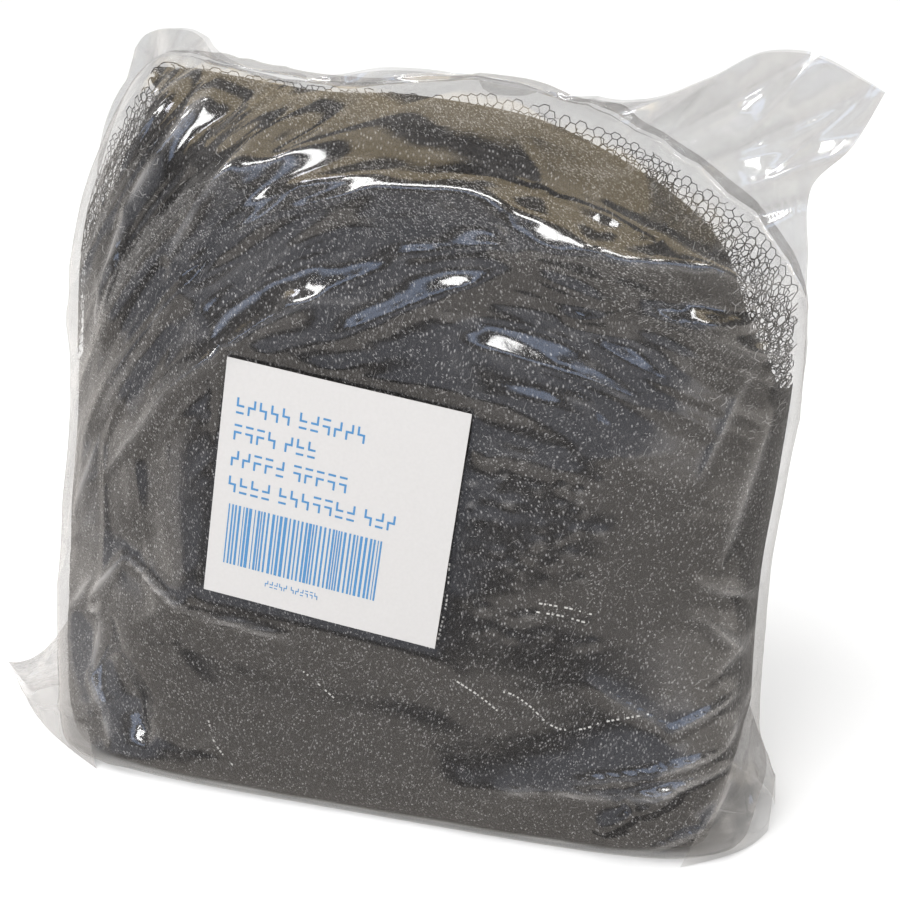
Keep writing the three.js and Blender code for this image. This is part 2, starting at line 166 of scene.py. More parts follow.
# The depth of the bag's face: full depth, less what the crown takes, plus folds and sway.
# The stiff label holds the front flat under it
def faceDepth(x, z, up, side, toFace, grow):
    full = sectionAt["front" if side < 0 else "back"](up) * halfDepth
    crown = rollOver(z, crestAt(x / halfWidth) * packHeight + grow, bag["crownRoll"])
    out = full * crown + bag["emptyDepth"] * (1 - crown) + foldOut(x, z, side) * crown
    sway = bag["mouthSway"] * np.sin(x / halfWidth * np.pi * 1.5) * (1 - crown)
    face = side * toFace * (out + grow) + sway
    if side > 0:
        return face
    dx, dz = x - labelSpec["across"], z - labelSpec["up"]
    flat = labelSpec["depth"] + labelSpec["yaw"] * dx + labelSpec["pitch"] * dz
    return face + (flat - grow - face) * (1 - clearOfLabel(x, z, 0.35))


def mouthHeight(x):
    return mouthAt(x / halfWidth) * bag["bagHeight"]


def crestHeight(x):
    return crestAt(x / halfWidth) * packHeight


# The bag's left and right edges at a share of its height, moved outwards by grow
def sideEdges(up, grow):
    return sectionAt["left"](up) * halfWidth - grow, sectionAt["right"](up) * halfWidth + grow


# A face of the bag found from a place across and up
def facePoints(x, z, side, grow):
    up = z / mouthHeight(x)
    left, right = sideEdges(up, grow)
    share = np.minimum(np.abs((2 * x - left - right) / (right - left)), 1)
    square = sectionAt["square"](up)
    toFace = (1 - share ** square) ** (1 / square)
    return faceDepth(x, z, up, side, toFace, grow)


# Half of the bag's skin on a grid. turn runs from one side of the bag to the other, and
# climb is 0 on the floor, 1 at the round's foot, 2 on the crest and 3 at the mouth. The
# section's height depends on the place across, so the two are settled by turns.
def skinGrid(turns, climbs, side, grow):
    turn, climb = np.meshgrid(turns, climbs)
    cosine, sine = np.cos(turn), np.abs(np.sin(turn))
    roundShare = np.sin(np.clip(climb - 1, 0, 1) * np.pi / 2) ** (2 / bag["crownPower"])

    def height(x):
        crest = crestHeight(x) + grow
        body = np.minimum(climb, 1) * (crest - bag["crownRoll"])
        return body + bag["crownRoll"] * roundShare + np.maximum(climb - 2, 0) * (mouthHeight(x) - crest)
    up = climb / 3
    for _ in range(8):
        left, right = sideEdges(up, grow)
        across = np.sign(cosine) * np.abs(cosine) ** (2 / sectionAt["square"](up))
        x = (left + right) / 2 + (right - left) / 2 * across
        up = height(x) / mouthHeight(x)
    z = height(x)
    toFace = sine ** (2 / sectionAt["square"](up))
    return np.stack([x, faceDepth(x, z, up, side, toFace, grow), z], -1)


# Vectors divided by their lengths
def unit(vectors):
    return vectors / np.maximum(np.linalg.norm(vectors, axis=-1, keepdims=True), 1e-9)


# Unit normals of a grid, from its neighbours along both ways
def gridNormals(grid):
    return unit(np.cross(np.gradient(grid, axis=1), np.gradient(grid, axis=0)))


# Smooth value noise from -1 to 1: random values on a lattice, blended between its points
def smoothNoise(x, z, scale, seed):
    lattice = np.random.default_rng(seed).uniform(-1, 1, (97, 97))
    u, v = x / scale + 31.7, z / scale + 17.3
    i, j = np.floor(u).astype(int), np.floor(v).astype(int)
    s, t = u - i, v - j
    s, t = s * s * (3 - 2 * s), t * t * (3 - 2 * t)
    a, b = lattice[i % 97, j % 97], lattice[(i + 1) % 97, j % 97]
    c, d = lattice[i % 97, (j + 1) % 97], lattice[(i + 1) % 97, (j + 1) % 97]
    return (a * (1 - s) + b * s) * (1 - t) + (c * (1 - s) + d * s) * t


def hexColour(code, alpha=1.0):  # sRGB hex to the linear colour that a shader takes
    parts = [int(code[i:i + 2], 16) / 255 for i in (1, 3, 5)]
    return [c / 12.92 if c <= 0.04045 else ((c + 0.055) / 1.055) ** 2.4 for c in parts] + [alpha]


# Adds a node with its settings, and links given as input name or number to a socket, or to
# a node for its first output
def addNode(tree, kind, settings=None, values=None, links=None):
    node = tree.nodes.new("ShaderNode" + kind)
    for name, value in (settings or {}).items():
        setattr(node, name, value)
    for name, value in (values or {}).items():
        node.inputs[name].default_value = value
    for name, source in (links or {}).items():
        tree.links.new(source.outputs[0] if isinstance(source, bpy.types.Node) else source, node.inputs[name])
    return node


def newMaterial(name):
    material = bpy.data.materials.new(name)
    material.use_nodes = True
    material.node_tree.nodes.clear()
    return material, material.node_tree


# A mesh object from points in the bag's frame, in millimetres
def meshObject(name, points, faces, material, smooth=True):
    points = (np.asarray(points, float).reshape(-1, 3) + shift) * mm
    faces = np.asarray(faces, np.int32)
    sides = faces.shape[1]
    mesh = bpy.data.meshes.new(name)
    mesh.vertices.add(len(points))
    mesh.vertices.foreach_set("co", points.ravel())
    mesh.loops.add(faces.size)
    mesh.loops.foreach_set("vertex_index", faces.ravel())
    mesh.polygons.add(len(faces))
    mesh.polygons.foreach_set("loop_start", np.arange(0, faces.size, sides, dtype=np.int32))
    mesh.polygons.foreach_set("loop_total", np.full(len(faces), sides, dtype=np.int32))
    mesh.polygons.foreach_set("use_smooth", np.full(len(faces), smooth))
    mesh.update(calc_edges=True)
    mesh.validate()
    mesh.materials.append(material)
    piece = bpy.data.objects.new(name, mesh)
    bpy.context.scene.collection.objects.link(piece)
    return piece


# Quads of a grid with rows and columns, joined round when closed
def gridQuads(rows, columns, closed=False):
    index = np.arange(rows * columns).reshape(rows, columns)
    right = np.roll(index, -1, axis=1) if closed else index[:, 1:]
    left = index if closed else index[:, :-1]
    return np.stack([left[:-1], right[:-1], right[1:], left[1:]], -1).reshape(-1, 4)


print("shape functions ready")

# Film: blown polythene, clear and glossy, and milky where it is crazed. Along creases and in bands at the sides, the
# milk is partly a painted reflection of the white room that creased and slanting film shows
filmLook = {
    "clear": "#E9E9E9",    # what one ply lets through
    "milk": "#C6C3C1",     # the haze of crazed film, partly a painted reflection along creases and at the sides
    "roughness": 0.045,
    "scuffed": 0.24,       # roughness of the scuffed share of its skin
    "scuffShare": 0.2,
    "through": 0.35,       # share of the milk that lets light through
    "headOn": 0.065,       # what both faces of a ply reflect head on
    "grazing": 0.4,        # and at a slant, where haze takes the rest
    "puckers": 170.0,      # puckers for each metre: about 6 mm apart
    "puckerDepth": 0.6,
}


# Seen through a ply: clear film, with the share of milk that the mesh's own attribute gives.
# Over that a gloss, mostly sharp and partly dull from scuffs
def filmMaterial():
    material, tree = newMaterial("blown_polythene_film")
    place = addNode(tree, "TexCoord").outputs["Object"]
    pucker = addNode(tree, "TexNoise", values={"Scale": filmLook["puckers"], "Detail": 3.0},
                     links={"Vector": place})
    bump = addNode(tree, "Bump", values={"Strength": 0.1, "Distance": filmLook["puckerDepth"] * mm},
                   links={"Height": pucker.outputs["Fac"]})
    clear = addNode(tree, "BsdfTransparent", values={"Color": hexColour(filmLook["clear"])})
    milk = addNode(tree, "BsdfDiffuse", values={"Color": hexColour(filmLook["milk"])})
    glow = addNode(tree, "BsdfTranslucent", values={"Color": hexColour(filmLook["milk"])})
    cloud = addNode(tree, "MixShader", values={0: filmLook["through"]}, links={1: milk, 2: glow})
    veil = addNode(tree, "Attribute", {"attribute_name": "milk"})
    body = addNode(tree, "MixShader", links={0: veil.outputs["Fac"], 1: clear, 2: cloud})
    sharp, dull = (addNode(tree, "BsdfAnisotropic", values={"Color": (1, 1, 1, 1), "Roughness": filmLook[key]},
                           links={"Normal": bump}) for key in ("roughness", "scuffed"))
    gloss = addNode(tree, "MixShader", values={0: filmLook["scuffShare"]}, links={1: sharp, 2: dull})
    # reflection grows from its head-on share with the fifth power of the slant, on both sides
    slant = addNode(tree, "LayerWeight", values={"Blend": 0.5}, links={"Normal": bump})
    fifth = addNode(tree, "Math", {"operation": "POWER"}, {1: 5.0}, {0: slant.outputs["Facing"]})
    twoFaces = addNode(tree, "MapRange", values={"To Min": filmLook["headOn"], "To Max": filmLook["grazing"]},
                       links={"Value": fifth})
    skin = addNode(tree, "MixShader", links={0: twoFaces, 1: body, 2: gloss})
    addNode(tree, "OutputMaterial", links={"Surface": skin})
    return material


# the pale colour is a painted highlight, mixed into knots and some bars by their glint share
yarnLook = {"strand": "#282625", "knot": "#EFEDEC", "roughness": 0.35}


# Net yarn: spun black nylon filament. Where its knots would catch the light, a painted highlight stands in:
# each bar carries its own share of glint, which mixes its colour towards a pale one
def yarnMaterial():
    material, tree = newMaterial("black_nylon_filament")
    glint = addNode(tree, "Attribute", {"attribute_name": "glint"})
    # painted highlight: the glint share pales the dark strand colour
    colour = addNode(tree, "Mix", {"data_type": "RGBA"}, {6: hexColour(yarnLook["strand"]),
                     7: hexColour(yarnLook["knot"])}, {0: glint.outputs["Fac"]})
    shader = addNode(tree, "BsdfPrincipled", values={"Roughness": yarnLook["roughness"], "IOR": 1.53},
                     links={"Base Color": colour.outputs[2]})
    addNode(tree, "OutputMaterial", links={"Surface": shader})
    return material


pileLook = {"dark": "#242222", "paintedGlint": "#BDBBBB", "roughness": 0.6,
            "flecks": 1150.0,  # cells for each metre: 0.9 mm wide, of which the paler ones show
            "nap": 0.8}        # the fleece's depth in millimetres


# Pile of nets: hundreds of layers seen as one dark fleece, with pale flecks painted into its colour
# where a strand would catch the light: painted highlights, over a bump from the same cells
def pileMaterial():
    material, tree = newMaterial("piled_nylon_net")
    place = addNode(tree, "TexCoord").outputs["Object"]
    warp = addNode(tree, "TexNoise", values={"Scale": 16.0, "Detail": 2.0}, links={"Vector": place})
    moved = addNode(tree, "VectorMath", {"operation": "MULTIPLY_ADD"}, {1: (0.02, 0.02, 0.02)},
                    {0: warp.outputs["Color"], 2: place})
    lay = addNode(tree, "Mapping", values={"Rotation": (0, 0.5, 0), "Scale": (1.0, 1.0, 0.6)},
                  links={"Vector": moved})
    flecks = addNode(tree, "TexVoronoi", {"feature": "F1"}, {"Scale": pileLook["flecks"]}, {"Vector": lay})
    near = addNode(tree, "MapRange", values={"From Min": 0.42, "From Max": 0.16},
                   links={"Value": flecks.outputs["Distance"]})
    cell = addNode(tree, "SeparateColor", links={0: flecks.outputs["Color"]})
    chance = addNode(tree, "MapRange", values={"From Min": 0.3, "From Max": 1.0}, links={"Value": cell})
    bright = addNode(tree, "Math", {"operation": "MULTIPLY"}, None, {0: near, 1: chance})
    # painted highlights: the paler cells mix the dark pile colour towards a pale glint colour
    colour = addNode(tree, "Mix", {"data_type": "RGBA"}, {6: hexColour(pileLook["dark"]),
                     7: hexColour(pileLook["paintedGlint"])}, {0: bright})
    bump = addNode(tree, "Bump", values={"Strength": 0.7, "Distance": pileLook["nap"] * mm},
                   links={"Height": flecks.outputs["Distance"]})
    shader = addNode(tree, "BsdfPrincipled", values={"Roughness": pileLook["roughness"], "IOR": 1.53},
                     links={"Base Color": colour.outputs[2], "Normal": bump})
    addNode(tree, "OutputMaterial", links={"Surface": shader})
    return material


# Paper, ink and cord: a base colour with a fine mottle of a second one, in mottles a metre
def mottledMaterial(name, code, mottle, scale, roughness, bumpHeight):
    material, tree = newMaterial(name)
    place = addNode(tree, "TexCoord").outputs["Object"]
    fibre = addNode(tree, "TexNoise", values={"Scale": scale, "Detail": 4.0}, links={"Vector": place})
    colour = addNode(tree, "Mix", {"data_type": "RGBA"}, {6: hexColour(code), 7: hexColour(mottle)},
                     {0: fibre.outputs["Fac"]})
    bump = addNode(tree, "Bump", values={"Strength": 0.2, "Distance": bumpHeight},
                   links={"Height": fibre.outputs["Fac"]})
    shader = addNode(tree, "BsdfPrincipled", values={"Roughness": roughness, "IOR": 1.5},
                     links={"Base Color": colour.outputs[2], "Normal": bump})
    addNode(tree, "OutputMaterial", links={"Surface": shader})
    return material


film = filmMaterial()
yarn = yarnMaterial()
pile = pileMaterial()
paper = mottledMaterial("coated_label_paper", "#B5B3B2", "#BDBBBA", 900.0, 0.6, 0.0001)
ink = mottledMaterial("pale_blue_ink", "#2F6C9C", "#4E86B4", 1500.0, 0.5, 0.00005)
elastic = mottledMaterial("bleached_elastic_cord", "#FFFFFF", "#DAD6D0", 2500.0, 0.5, 0.0002)
print("materials ready")


# Adds a share for each point to a piece's mesh, for its material to read
def addShares(piece, name, shares):
    layer = piece.data.attributes.new(name, "FLOAT", "POINT")
    layer.data.foreach_set("value", np.ascontiguousarray(shares, np.float32).ravel())


# Main creases of the film's front: from and to in millimetres across and up, then height,
# half width, and the share of milk along the crease: crazing, and partly a painted reflection of the fold
creaseTable = [
    (-57, 248, -72, 228, 2.4, 1.6, 0.3), (-72, 228, -84, 210, 2.4, 1.6, 0.35), (-84, 210, -94, 183, 2.2, 1.6, 0.35),
    (-94, 183, -96, 168, 1.8, 1.6, 0.3), (-60, 251, -65, 238, 1.2, 1.0, 0.2), (-36, 236, -51, 218, 1.8, 1.4, 0.2),
    (-51, 218, -64, 199, 1.6, 1.4, 0.2), (-77, 244, -61, 255, 1.6, 1.4, 0.25), (-62, 235, -42, 248, -3.0, 4.0, 0),
    (-42, 248, -14, 255, -2.6, 4.0, 0), (-60, 226, -34, 243, 2.8, 4.5, 0.05), (-34, 243, -5, 255, 2.6, 4.5, 0.05),
    (-30, 234, -7, 248, -2.4, 3.0, 0), (-7, 248, 20, 252, -2.0, 3.0, 0), (-40, 228, -9, 239, 2.6, 3.6, 0.05),
    (-9, 239, 26, 251, 2.4, 3.6, 0.04), (-47, 206, -19, 225, 2.2, 3.0, 0.06), (-19, 225, 10, 232, 1.8, 3.0, 0.03),
    (-57, 187, -22, 210, 2.2, 3.0, 0.05), (-22, 210, 0, 224, 1.8, 3.0, 0.03), (-69, 153, -37, 179, 2.2, 2.6, 0.08),
    (-37, 179, -10, 195, 2.2, 3.0, 0.04), (-10, 195, 19, 209, 1.8, 3.4, 0), (19, 209, 44, 214, 1.6, 3.0, 0),
    (-5, 182, 22, 195, 3.2, 4.0, 0), (22, 195, 50, 208, 3.4, 4.0, 0), (44, 214, 71, 214, 5.0, 4.5, 0.05),
    (71, 214, 104, 207, 5.2, 4.5, 0.05), (104, 207, 122, 195, 4.0, 3.5, 0.05), (60, 227, 89, 216, 4.5, 4.0, 0.05),
    (89, 216, 121, 197, 4.2, 3.6, 0.08), (63, 192, 81, 195, 3.4, 3.2, 0), (81, 195, 122, 191, 3.8, 3.6, 0.03),
    (101, 208, 122, 201, 1.8, 1.6, 0.2), (55, 207, 78, 199, 4.0, 3.4, 0), (30, 224, 70, 206, -1.8, 4.0, 0),
    (80, 204, 118, 194, -2.2, 3.4, 0), (100, 190, 132, 175, 3.4, 3.2, 0.1), (-95, 120, -62, 159, 1.8, 1.6, 0.2),
    (-62, 159, -49, 171, 1.4, 1.6, 0.12), (-96, 138, -72, 172, 1.8, 1.6, 0.2), (-72, 172, -64, 186, 1.4, 1.6, 0.15),
    (-110, 100, -98, 130, 1.6, 1.6, 0.25), (-118, 60, -104, 78, 1.8, 1.8, 0.3), (-61, 160, -30, 185, 1.6, 2.0, 0.06),
    (-107, 68, -89, 90, 2.4, 1.5, 0.4), (-89, 90, -60, 79, 2.2, 1.6, 0.35), (-60, 79, -24, 73, 1.8, 1.6, 0.25),
    (-109, 62, -102, 65, 2.0, 1.2, 0.4), (-102, 65, -109, 38, 2.2, 1.6, 0.3), (-109, 38, -103, 25, 2.0, 1.6, 0.3),
    (-103, 25, -101, 14, 2.0, 1.6, 0.35), (-99, 62, -106, 40, -3.5, 3.0, 0), (-92, 36, -90, 24, -3.0, 2.2, 0),
    (-90, 24, -86, 17, -2.6, 2.2, 0), (46, 25, 61, 28, 2.0, 1.6, 0.25), (61, 28, 85, 30, 2.2, 1.6, 0.3),
    (85, 30, 122, 38, 2.2, 1.6, 0.3), (77, 15, 90, 25, 6.0, 5.5, 0), (90, 25, 104, 32, 6.0, 5.5, 0),
    (67, 32, 97, 39, 1.8, 1.6, 0.1), (97, 39, 117, 44, 2.2, 1.6, 0.3), (117, 44, 120, 54, 2.0, 1.4, 0.3),
    (120, 54, 123, 62, 2.0, 1.4, 0.3), (76, 69, 101, 53, 1.6, 1.8, 0.12), (101, 53, 121, 63, 2.0, 1.8, 0.2),
    (109, 91, 121, 75, 2.0, 1.6, 0.2), (106, 105, 124, 94, 2.0, 1.6, 0.2), (112, 70, 124, 85, 2.0, 1.6, 0.2),
    (94, 6, 113, 16, 2.0, 1.6, 0.25), (113, 16, 120, 35, 2.4, 2.0, 0.3), (112, 110, 124, 160, 1.6, 1.8, 0.2),
    (105, 140, 118, 178, 1.4, 1.8, 0.15),
]
scuffs = {"count": 70, "across": (36, 78), "up": (82, 150), "half": (0.8, 3.5), "wide": 0.5, "height": 0.35}
wrinkles = {"count": 420, "across": (-130, 145), "up": (4, 262), "height": 0.45, "short": 7.0, "long": 34.0,
            "wide": 0.9, "stray": 0.3}
slackTable = {  # how slack the film is at a height, and what its left and right sides add to that
    "up": ([0, 12, 40, 130, 175], [0.1, 0.5, 0.12, 0.16, 1]),
    "left": ([-128, -70, -45], [0.7, 0.5, 0]),
    "right": ([95, 120], [0, 0.5]),
}


# A crease is a sharp-crested ridge along a segment: its height falls off with the distance
# from the segment, and towards the segment's ends
def creaseShape(x, z, ax, az, bx, bz, wide):
    away, along = toSegment(x, z, ax, az, bx, bz)
    return np.exp(-(np.hypot(away, 0.25 * wide) - 0.25 * wide) / wide) * np.sin(np.pi * (0.06 + 0.88 * along)) ** 0.5


# Slope of the lines along which the film is pulled: steep at the left, falling at the right
slopeTable = {"across": [-135, -100, -60, -20, 20, 60, 100, 135], "slope": [2.2, 1.7, 1.0, 0.4, 0.0, -0.3, -0.5, -0.6]}
slopeFade = ([20, 130], [0.08, 1])  # the slopes' share at a height: the foot's film is pulled level
slopeAcross = np.linspace(-150, 150, 61)
slopeValues = np.interp(slopeAcross, slopeTable["across"], slopeTable["slope"])
slopeSums = np.concatenate([[0], np.cumsum((slopeValues[1:] + slopeValues[:-1]) / 2 * np.diff(slopeAcross))])


def pullSlope(x, z):
    return np.interp(x, slopeAcross, slopeValues) * np.interp(z, *slopeFade)


# Height of a place above the pull line that runs through the bag's middle
def pullHeight(x, z):
    return z - np.interp(z, *slopeFade) * np.interp(x, slopeAcross, slopeSums)


# Ridges from noise: sharp where the noise crosses zero, level between
def ridges(u, v, seed):
    return np.clip(1 - 1.7 * np.abs(smoothNoise(u, v, 1, seed)), 0, 1) ** 1.6


# The film's relief and its milk: the creases given, ridges of two sizes and a fine grain along
# the pull lines where the film is slack, broad swells, small wrinkles and short scuffs
def filmRelief(x, z, seed, creases):
    out, milk = np.zeros_like(x), np.zeros_like(x)
    for ax, az, bx, bz, height, wide, crazeAndSheen in creases:
        shape = creaseShape(x, z, ax, az, bx, bz, wide)
        out += height * shape
        # milk along a crease: crazing, and partly a painted reflection of the fold
        milk = np.maximum(milk, 1.4 * crazeAndSheen * shape ** 2)
    strong = np.interp(z, *slackTable["up"]) + np.interp(x, *slackTable["left"])
    strong = np.minimum(strong + np.interp(x, *slackTable["right"]), 1.1)
    height = pullHeight(x, z)
    out += strong * (2.6 * ridges(x / 110, height / 26, seed) + 0.9 * ridges(x / 45 + 7, height / 10, seed + 1)
                     + 0.1 * smoothNoise(x / 9, height / 3, 1, seed + 2))
    out += np.interp(z, [60, 180], [0.3, 0.9]) * smoothNoise(x, z * 1.4, 46, seed + 3)
    milk = np.maximum(milk, 0.07 * strong * ridges(x / 40 + 3, height / 3, seed + 4) ** 6)
    random = np.random.default_rng(seed)
    for _ in range(wrinkles["count"]):
        cx, cz = random.uniform(*wrinkles["across"]), random.uniform(*wrinkles["up"])
        turn = np.arctan(pullSlope(cx, cz)) + random.normal(0, wrinkles["stray"])
        half = random.uniform(wrinkles["short"], wrinkles["long"]) / 2
        tall, crazeAndSheen = wrinkles["height"] * random.uniform(-0.6, 1.4), random.uniform(-0.12, 0.16)
        near = (np.abs(x - cx) < half + 5) & (np.abs(z - cz) < half + 5)
        if near.any():
            dx, dz = half * np.cos(turn), half * np.sin(turn)
            shape = creaseShape(x[near], z[near], cx - dx, cz - dz, cx + dx, cz + dz, wrinkles["wide"])
            out[near] += tall * strong[near] * shape
            milk[near] = np.maximum(milk[near], crazeAndSheen * strong[near] * shape ** 2)
    for _ in range(scuffs["count"]):  # short level scuffs beside the label
        cx, cz = random.uniform(*scuffs["across"]), random.uniform(*scuffs["up"])
        half = random.uniform(*scuffs["half"])
        near = (np.abs(x - cx) < half + 3) & (np.abs(z - cz) < 4)
        shape = creaseShape(x[near], z[near], cx - half, cz, cx + half, cz + random.normal(0, 0.6), scuffs["wide"])
        out[near] += scuffs["height"] * shape
        milk[near] = np.maximum(milk[near], random.uniform(0, 0.3) * shape ** 2)
    calm = clearOfLabel(x, z, 0.05)
    return out * (0.04 + 0.96 * calm), milk * calm


# Folds of the empty mouth, which both plies share: from and to, then height and half width
earTable = [
    (88, 226, 150, 262, 4.0, 2.4), (94, 218, 152, 246, -3.4, 2.8), (80, 234, 128, 268, 3.4, 2.2),
    (100, 210, 134, 226, 3.0, 2.0), (104, 214, 150, 232, 2.6, 2.0), (70, 236, 104, 262, -3.0, 2.6),
    (118, 232, 140, 254, 2.2, 1.4), (84, 240, 96, 256, 2.4, 1.4), (108, 240, 124, 262, -2.4, 1.8),
    (112, 196, 128, 206, 2.6, 1.6), (60, 240, 84, 250, 2.0, 1.6), (-96, 232, -84, 262, 3.0, 2.2),
    (-80, 250, -64, 262, 2.6, 2.0), (-90, 226, -70, 258, -2.4, 2.4), (-50, 253, -20, 250, 2.0, 1.6),
    (-5, 252, 30, 252, 1.8, 1.6), (20, 250, 55, 243, 2.0, 1.6), (40, 244, 70, 250, -2.0, 1.8),
]
filmSpec = {
    "front": (340, (6, 118, 40, 36)),  # columns, and rows of the foot, the side, the round and the mouth
    "back": (200, (5, 66, 26, 18)),
    "fan": (40, 205),          # where the mouth's ripples fan out from
    "base": 0.02, "mouth": 0.03,       # milk everywhere, and what the empty mouth adds
    "left": 0.52, "right": 0.1,        # milk that the bands at the sides add, at most: partly a painted reflection of the white room on the slanting film
    "leftBand": ([-134, -118, -96, -80], [1, 0.7, 0.15, 0]),
    "rightBand": ([112, 130], [0, 1]),
    "least": 0.15,             # the foot's height over the floor
}


# One ply of the bag: its half of the skin, moved along its normals by the relief, with a
# foot that runs under the bag to the seam
def makePly(name, side, columns, rows, seed, creases):
    start = np.pi if side < 0 else 0.0
    turns = start + np.linspace(0, np.pi, columns)
    climbs = np.concatenate([np.linspace(0, 0.04, rows[0])[:-1], np.linspace(0.04, 1, rows[1])[:-1],
                             np.linspace(1, 2, rows[2])[:-1], np.linspace(2, 3, rows[3])])
    grid = skinGrid(turns, climbs, side, 0.0)
    normals = gridNormals(grid)
    x, z = grid[..., 0], grid[..., 2]
    relief, milk = filmRelief(x, z, seed, creases)
    empty = 1 - rollOver(z, crestHeight(x), bag["crownRoll"])
    edge = np.abs(np.sin(np.meshgrid(turns, climbs)[0])) ** 0.5  # both plies meet at the sides
    # the empty mouth ripples: both plies together, in folds that fan out from the shoulders
    fan = np.arctan2(z - filmSpec["fan"][1], np.abs(x - filmSpec["fan"][0]) + 12)
    together = 4.5 * smoothNoise(x, z, 36, 90) + 2.6 * smoothNoise(x * 1.5, z * 0.6, 14, 91)
    together += 2.2 * (ridges(fan * 5, x / 90, 92) - 0.4)
    for ax, az, bx, bz, height, wide in earTable:
        shape = creaseShape(x, z, ax, az, bx, bz, wide)
        together += height * shape
        milk = np.maximum(milk, 0.2 * shape ** 2)
    moved = grid + normals * (relief * edge * np.clip(z / 6, 0, 1) * (1 - 0.6 * empty))[..., None]
    moved[..., 1] += together * empty ** 2 * np.maximum(edge, 0.5)
    milk = milk + filmSpec["base"] + filmSpec["mouth"] * empty
    streaks = np.clip(0.6 + 0.6 * smoothNoise(x * 2, z * 0.5, 22, 93), 0.1, 1)
    # painted reflection: the milk bands at the left and right stand partly for the white room that the slanting film
    # reflects
    milk += filmSpec["left"] * np.interp(x, *filmSpec["leftBand"]) * np.interp(z, [20, 90], [0.4, 1]) * streaks
    milk += 0.12 * empty * ridges(fan * 9, x / 60, 94) ** 4
    clouds = np.clip(0.5 + smoothNoise(x * 2, z, 16, 95), 0, 1)
    milk += filmSpec["right"] * np.interp(x, *filmSpec["rightBand"]) * clouds
    # the foot runs in under the bag, at these shares of its distance from the seam
    under = np.concatenate([moved[:1] * [1, s, 1] for s in (0.02, 0.35, 0.7)])
    moved = np.concatenate([under, moved])
    milk = np.concatenate([np.repeat(milk[:1], 3, 0), milk])
    moved[..., 2] = np.maximum(moved[..., 2], filmSpec["least"])
    piece = meshObject(name, moved, gridQuads(*moved.shape[:2]), film)
    addShares(piece, "milk", np.clip(milk, 0, 0.9))
    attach(piece, "root")
    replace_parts(piece, "film_bag")


makePly("film_front", -1, *filmSpec["front"], 5, creaseTable)
makePly("film_back", 1, *filmSpec["back"], 23, [(-row[0], row[1], -row[2], *row[3:]) for row in creaseTable[::2]])
print("film plies made")

# Dog ears at the bottom seam: a web of film from the bag's side to a tip, over the floor
flapTable = [
    {"name": "seal_flap_left", "topRoot": (-128, -3, 52), "tip": (-164.6, 0, 14), "frontRoot": (-108, -40, 0.4),
     "frontTip": (-157, -2, 0.8), "backRoot": (-112, 34, 0.4), "droop": 1.9, "bulge": 7.0, "milk": 0.34, "seed": 51},
    {"name": "seal_flap_right", "topRoot": (121, -3, 46), "tip": (131.5, -3, 20), "frontRoot": (106, -38, 0.4),
     "frontTip": (131, -8, 0.6), "backRoot": (108, 34, 0.4), "droop": 1.2, "bulge": 6.0, "milk": 0.12, "seed": 57},
]


# Along s from the root to the tip, and across t from the front's foot (-1) over the top
# edge (0) to the back's foot (1): a straight blend between foot and top, bulged outwards
def makeFlap(spec):
    s, t = np.meshgrid(np.linspace(0, 1, 50), np.linspace(-1, 1, 90))
    corner = {key: np.array(spec[key], float) for key in ("topRoot", "tip", "frontRoot", "frontTip", "backRoot")}
    backTip = corner["frontTip"] * [1, -1, 1]
    s3, t3 = s[..., None], np.abs(t)[..., None]
    top = corner["topRoot"] + (corner["tip"] - corner["topRoot"]) * s3
    top[..., 2] = corner["tip"][2] + (corner["topRoot"][2] - corner["tip"][2]) * (1 - s) ** spec["droop"]
    bow = np.sin(np.pi * s)[..., None] * np.array([np.sign(corner["tip"][0]) * 5, 0, 0])
    frontFoot = corner["frontRoot"] + (corner["frontTip"] - corner["frontRoot"]) * s3 + bow
    backFoot = corner["backRoot"] + (backTip - corner["backRoot"]) * s3 + bow
    foot = np.where((t < 0)[..., None], frontFoot, backFoot)
    points = top + (foot - top) * t3 ** 1.2
    swell = np.sin(np.pi * np.abs(t)) * (1 - s) ** 0.6 * spec["bulge"]
    points[..., 1] += np.sign(t) * swell * 0.5
    points[..., 0] += np.sign(corner["tip"][0]) * swell * 0.25
    x, z = points[..., 0], points[..., 2]
    crinkle = 1.6 * ridges(s * 1.5, t * 5, spec["seed"]) + 0.8 * ridges(s * 4 + 2, t * 11, spec["seed"] + 1)
    inside = np.sin(np.pi * np.abs(t)) ** 0.5 * np.sin(np.pi * np.clip(s * 0.92 + 0.08, 0, 1)) ** 0.5
    points[..., 1] += np.sign(t) * crinkle * inside
    ripple = 0.8 * smoothNoise(x, z * 2 + t * 20, 9, spec["seed"] + 2)
    points[..., 2] = np.maximum(points[..., 2] + ripple * inside, 0.2)
    piece = meshObject(spec["name"], points, gridQuads(*s.shape), film)
    addShares(piece, "milk", spec["milk"] + 0.22 * ridges(s * 3, t * 8, spec["seed"] + 3) ** 3)
    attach(piece, "root")


for spec in flapTable:
    makeFlap(spec)
print("seal flaps made")

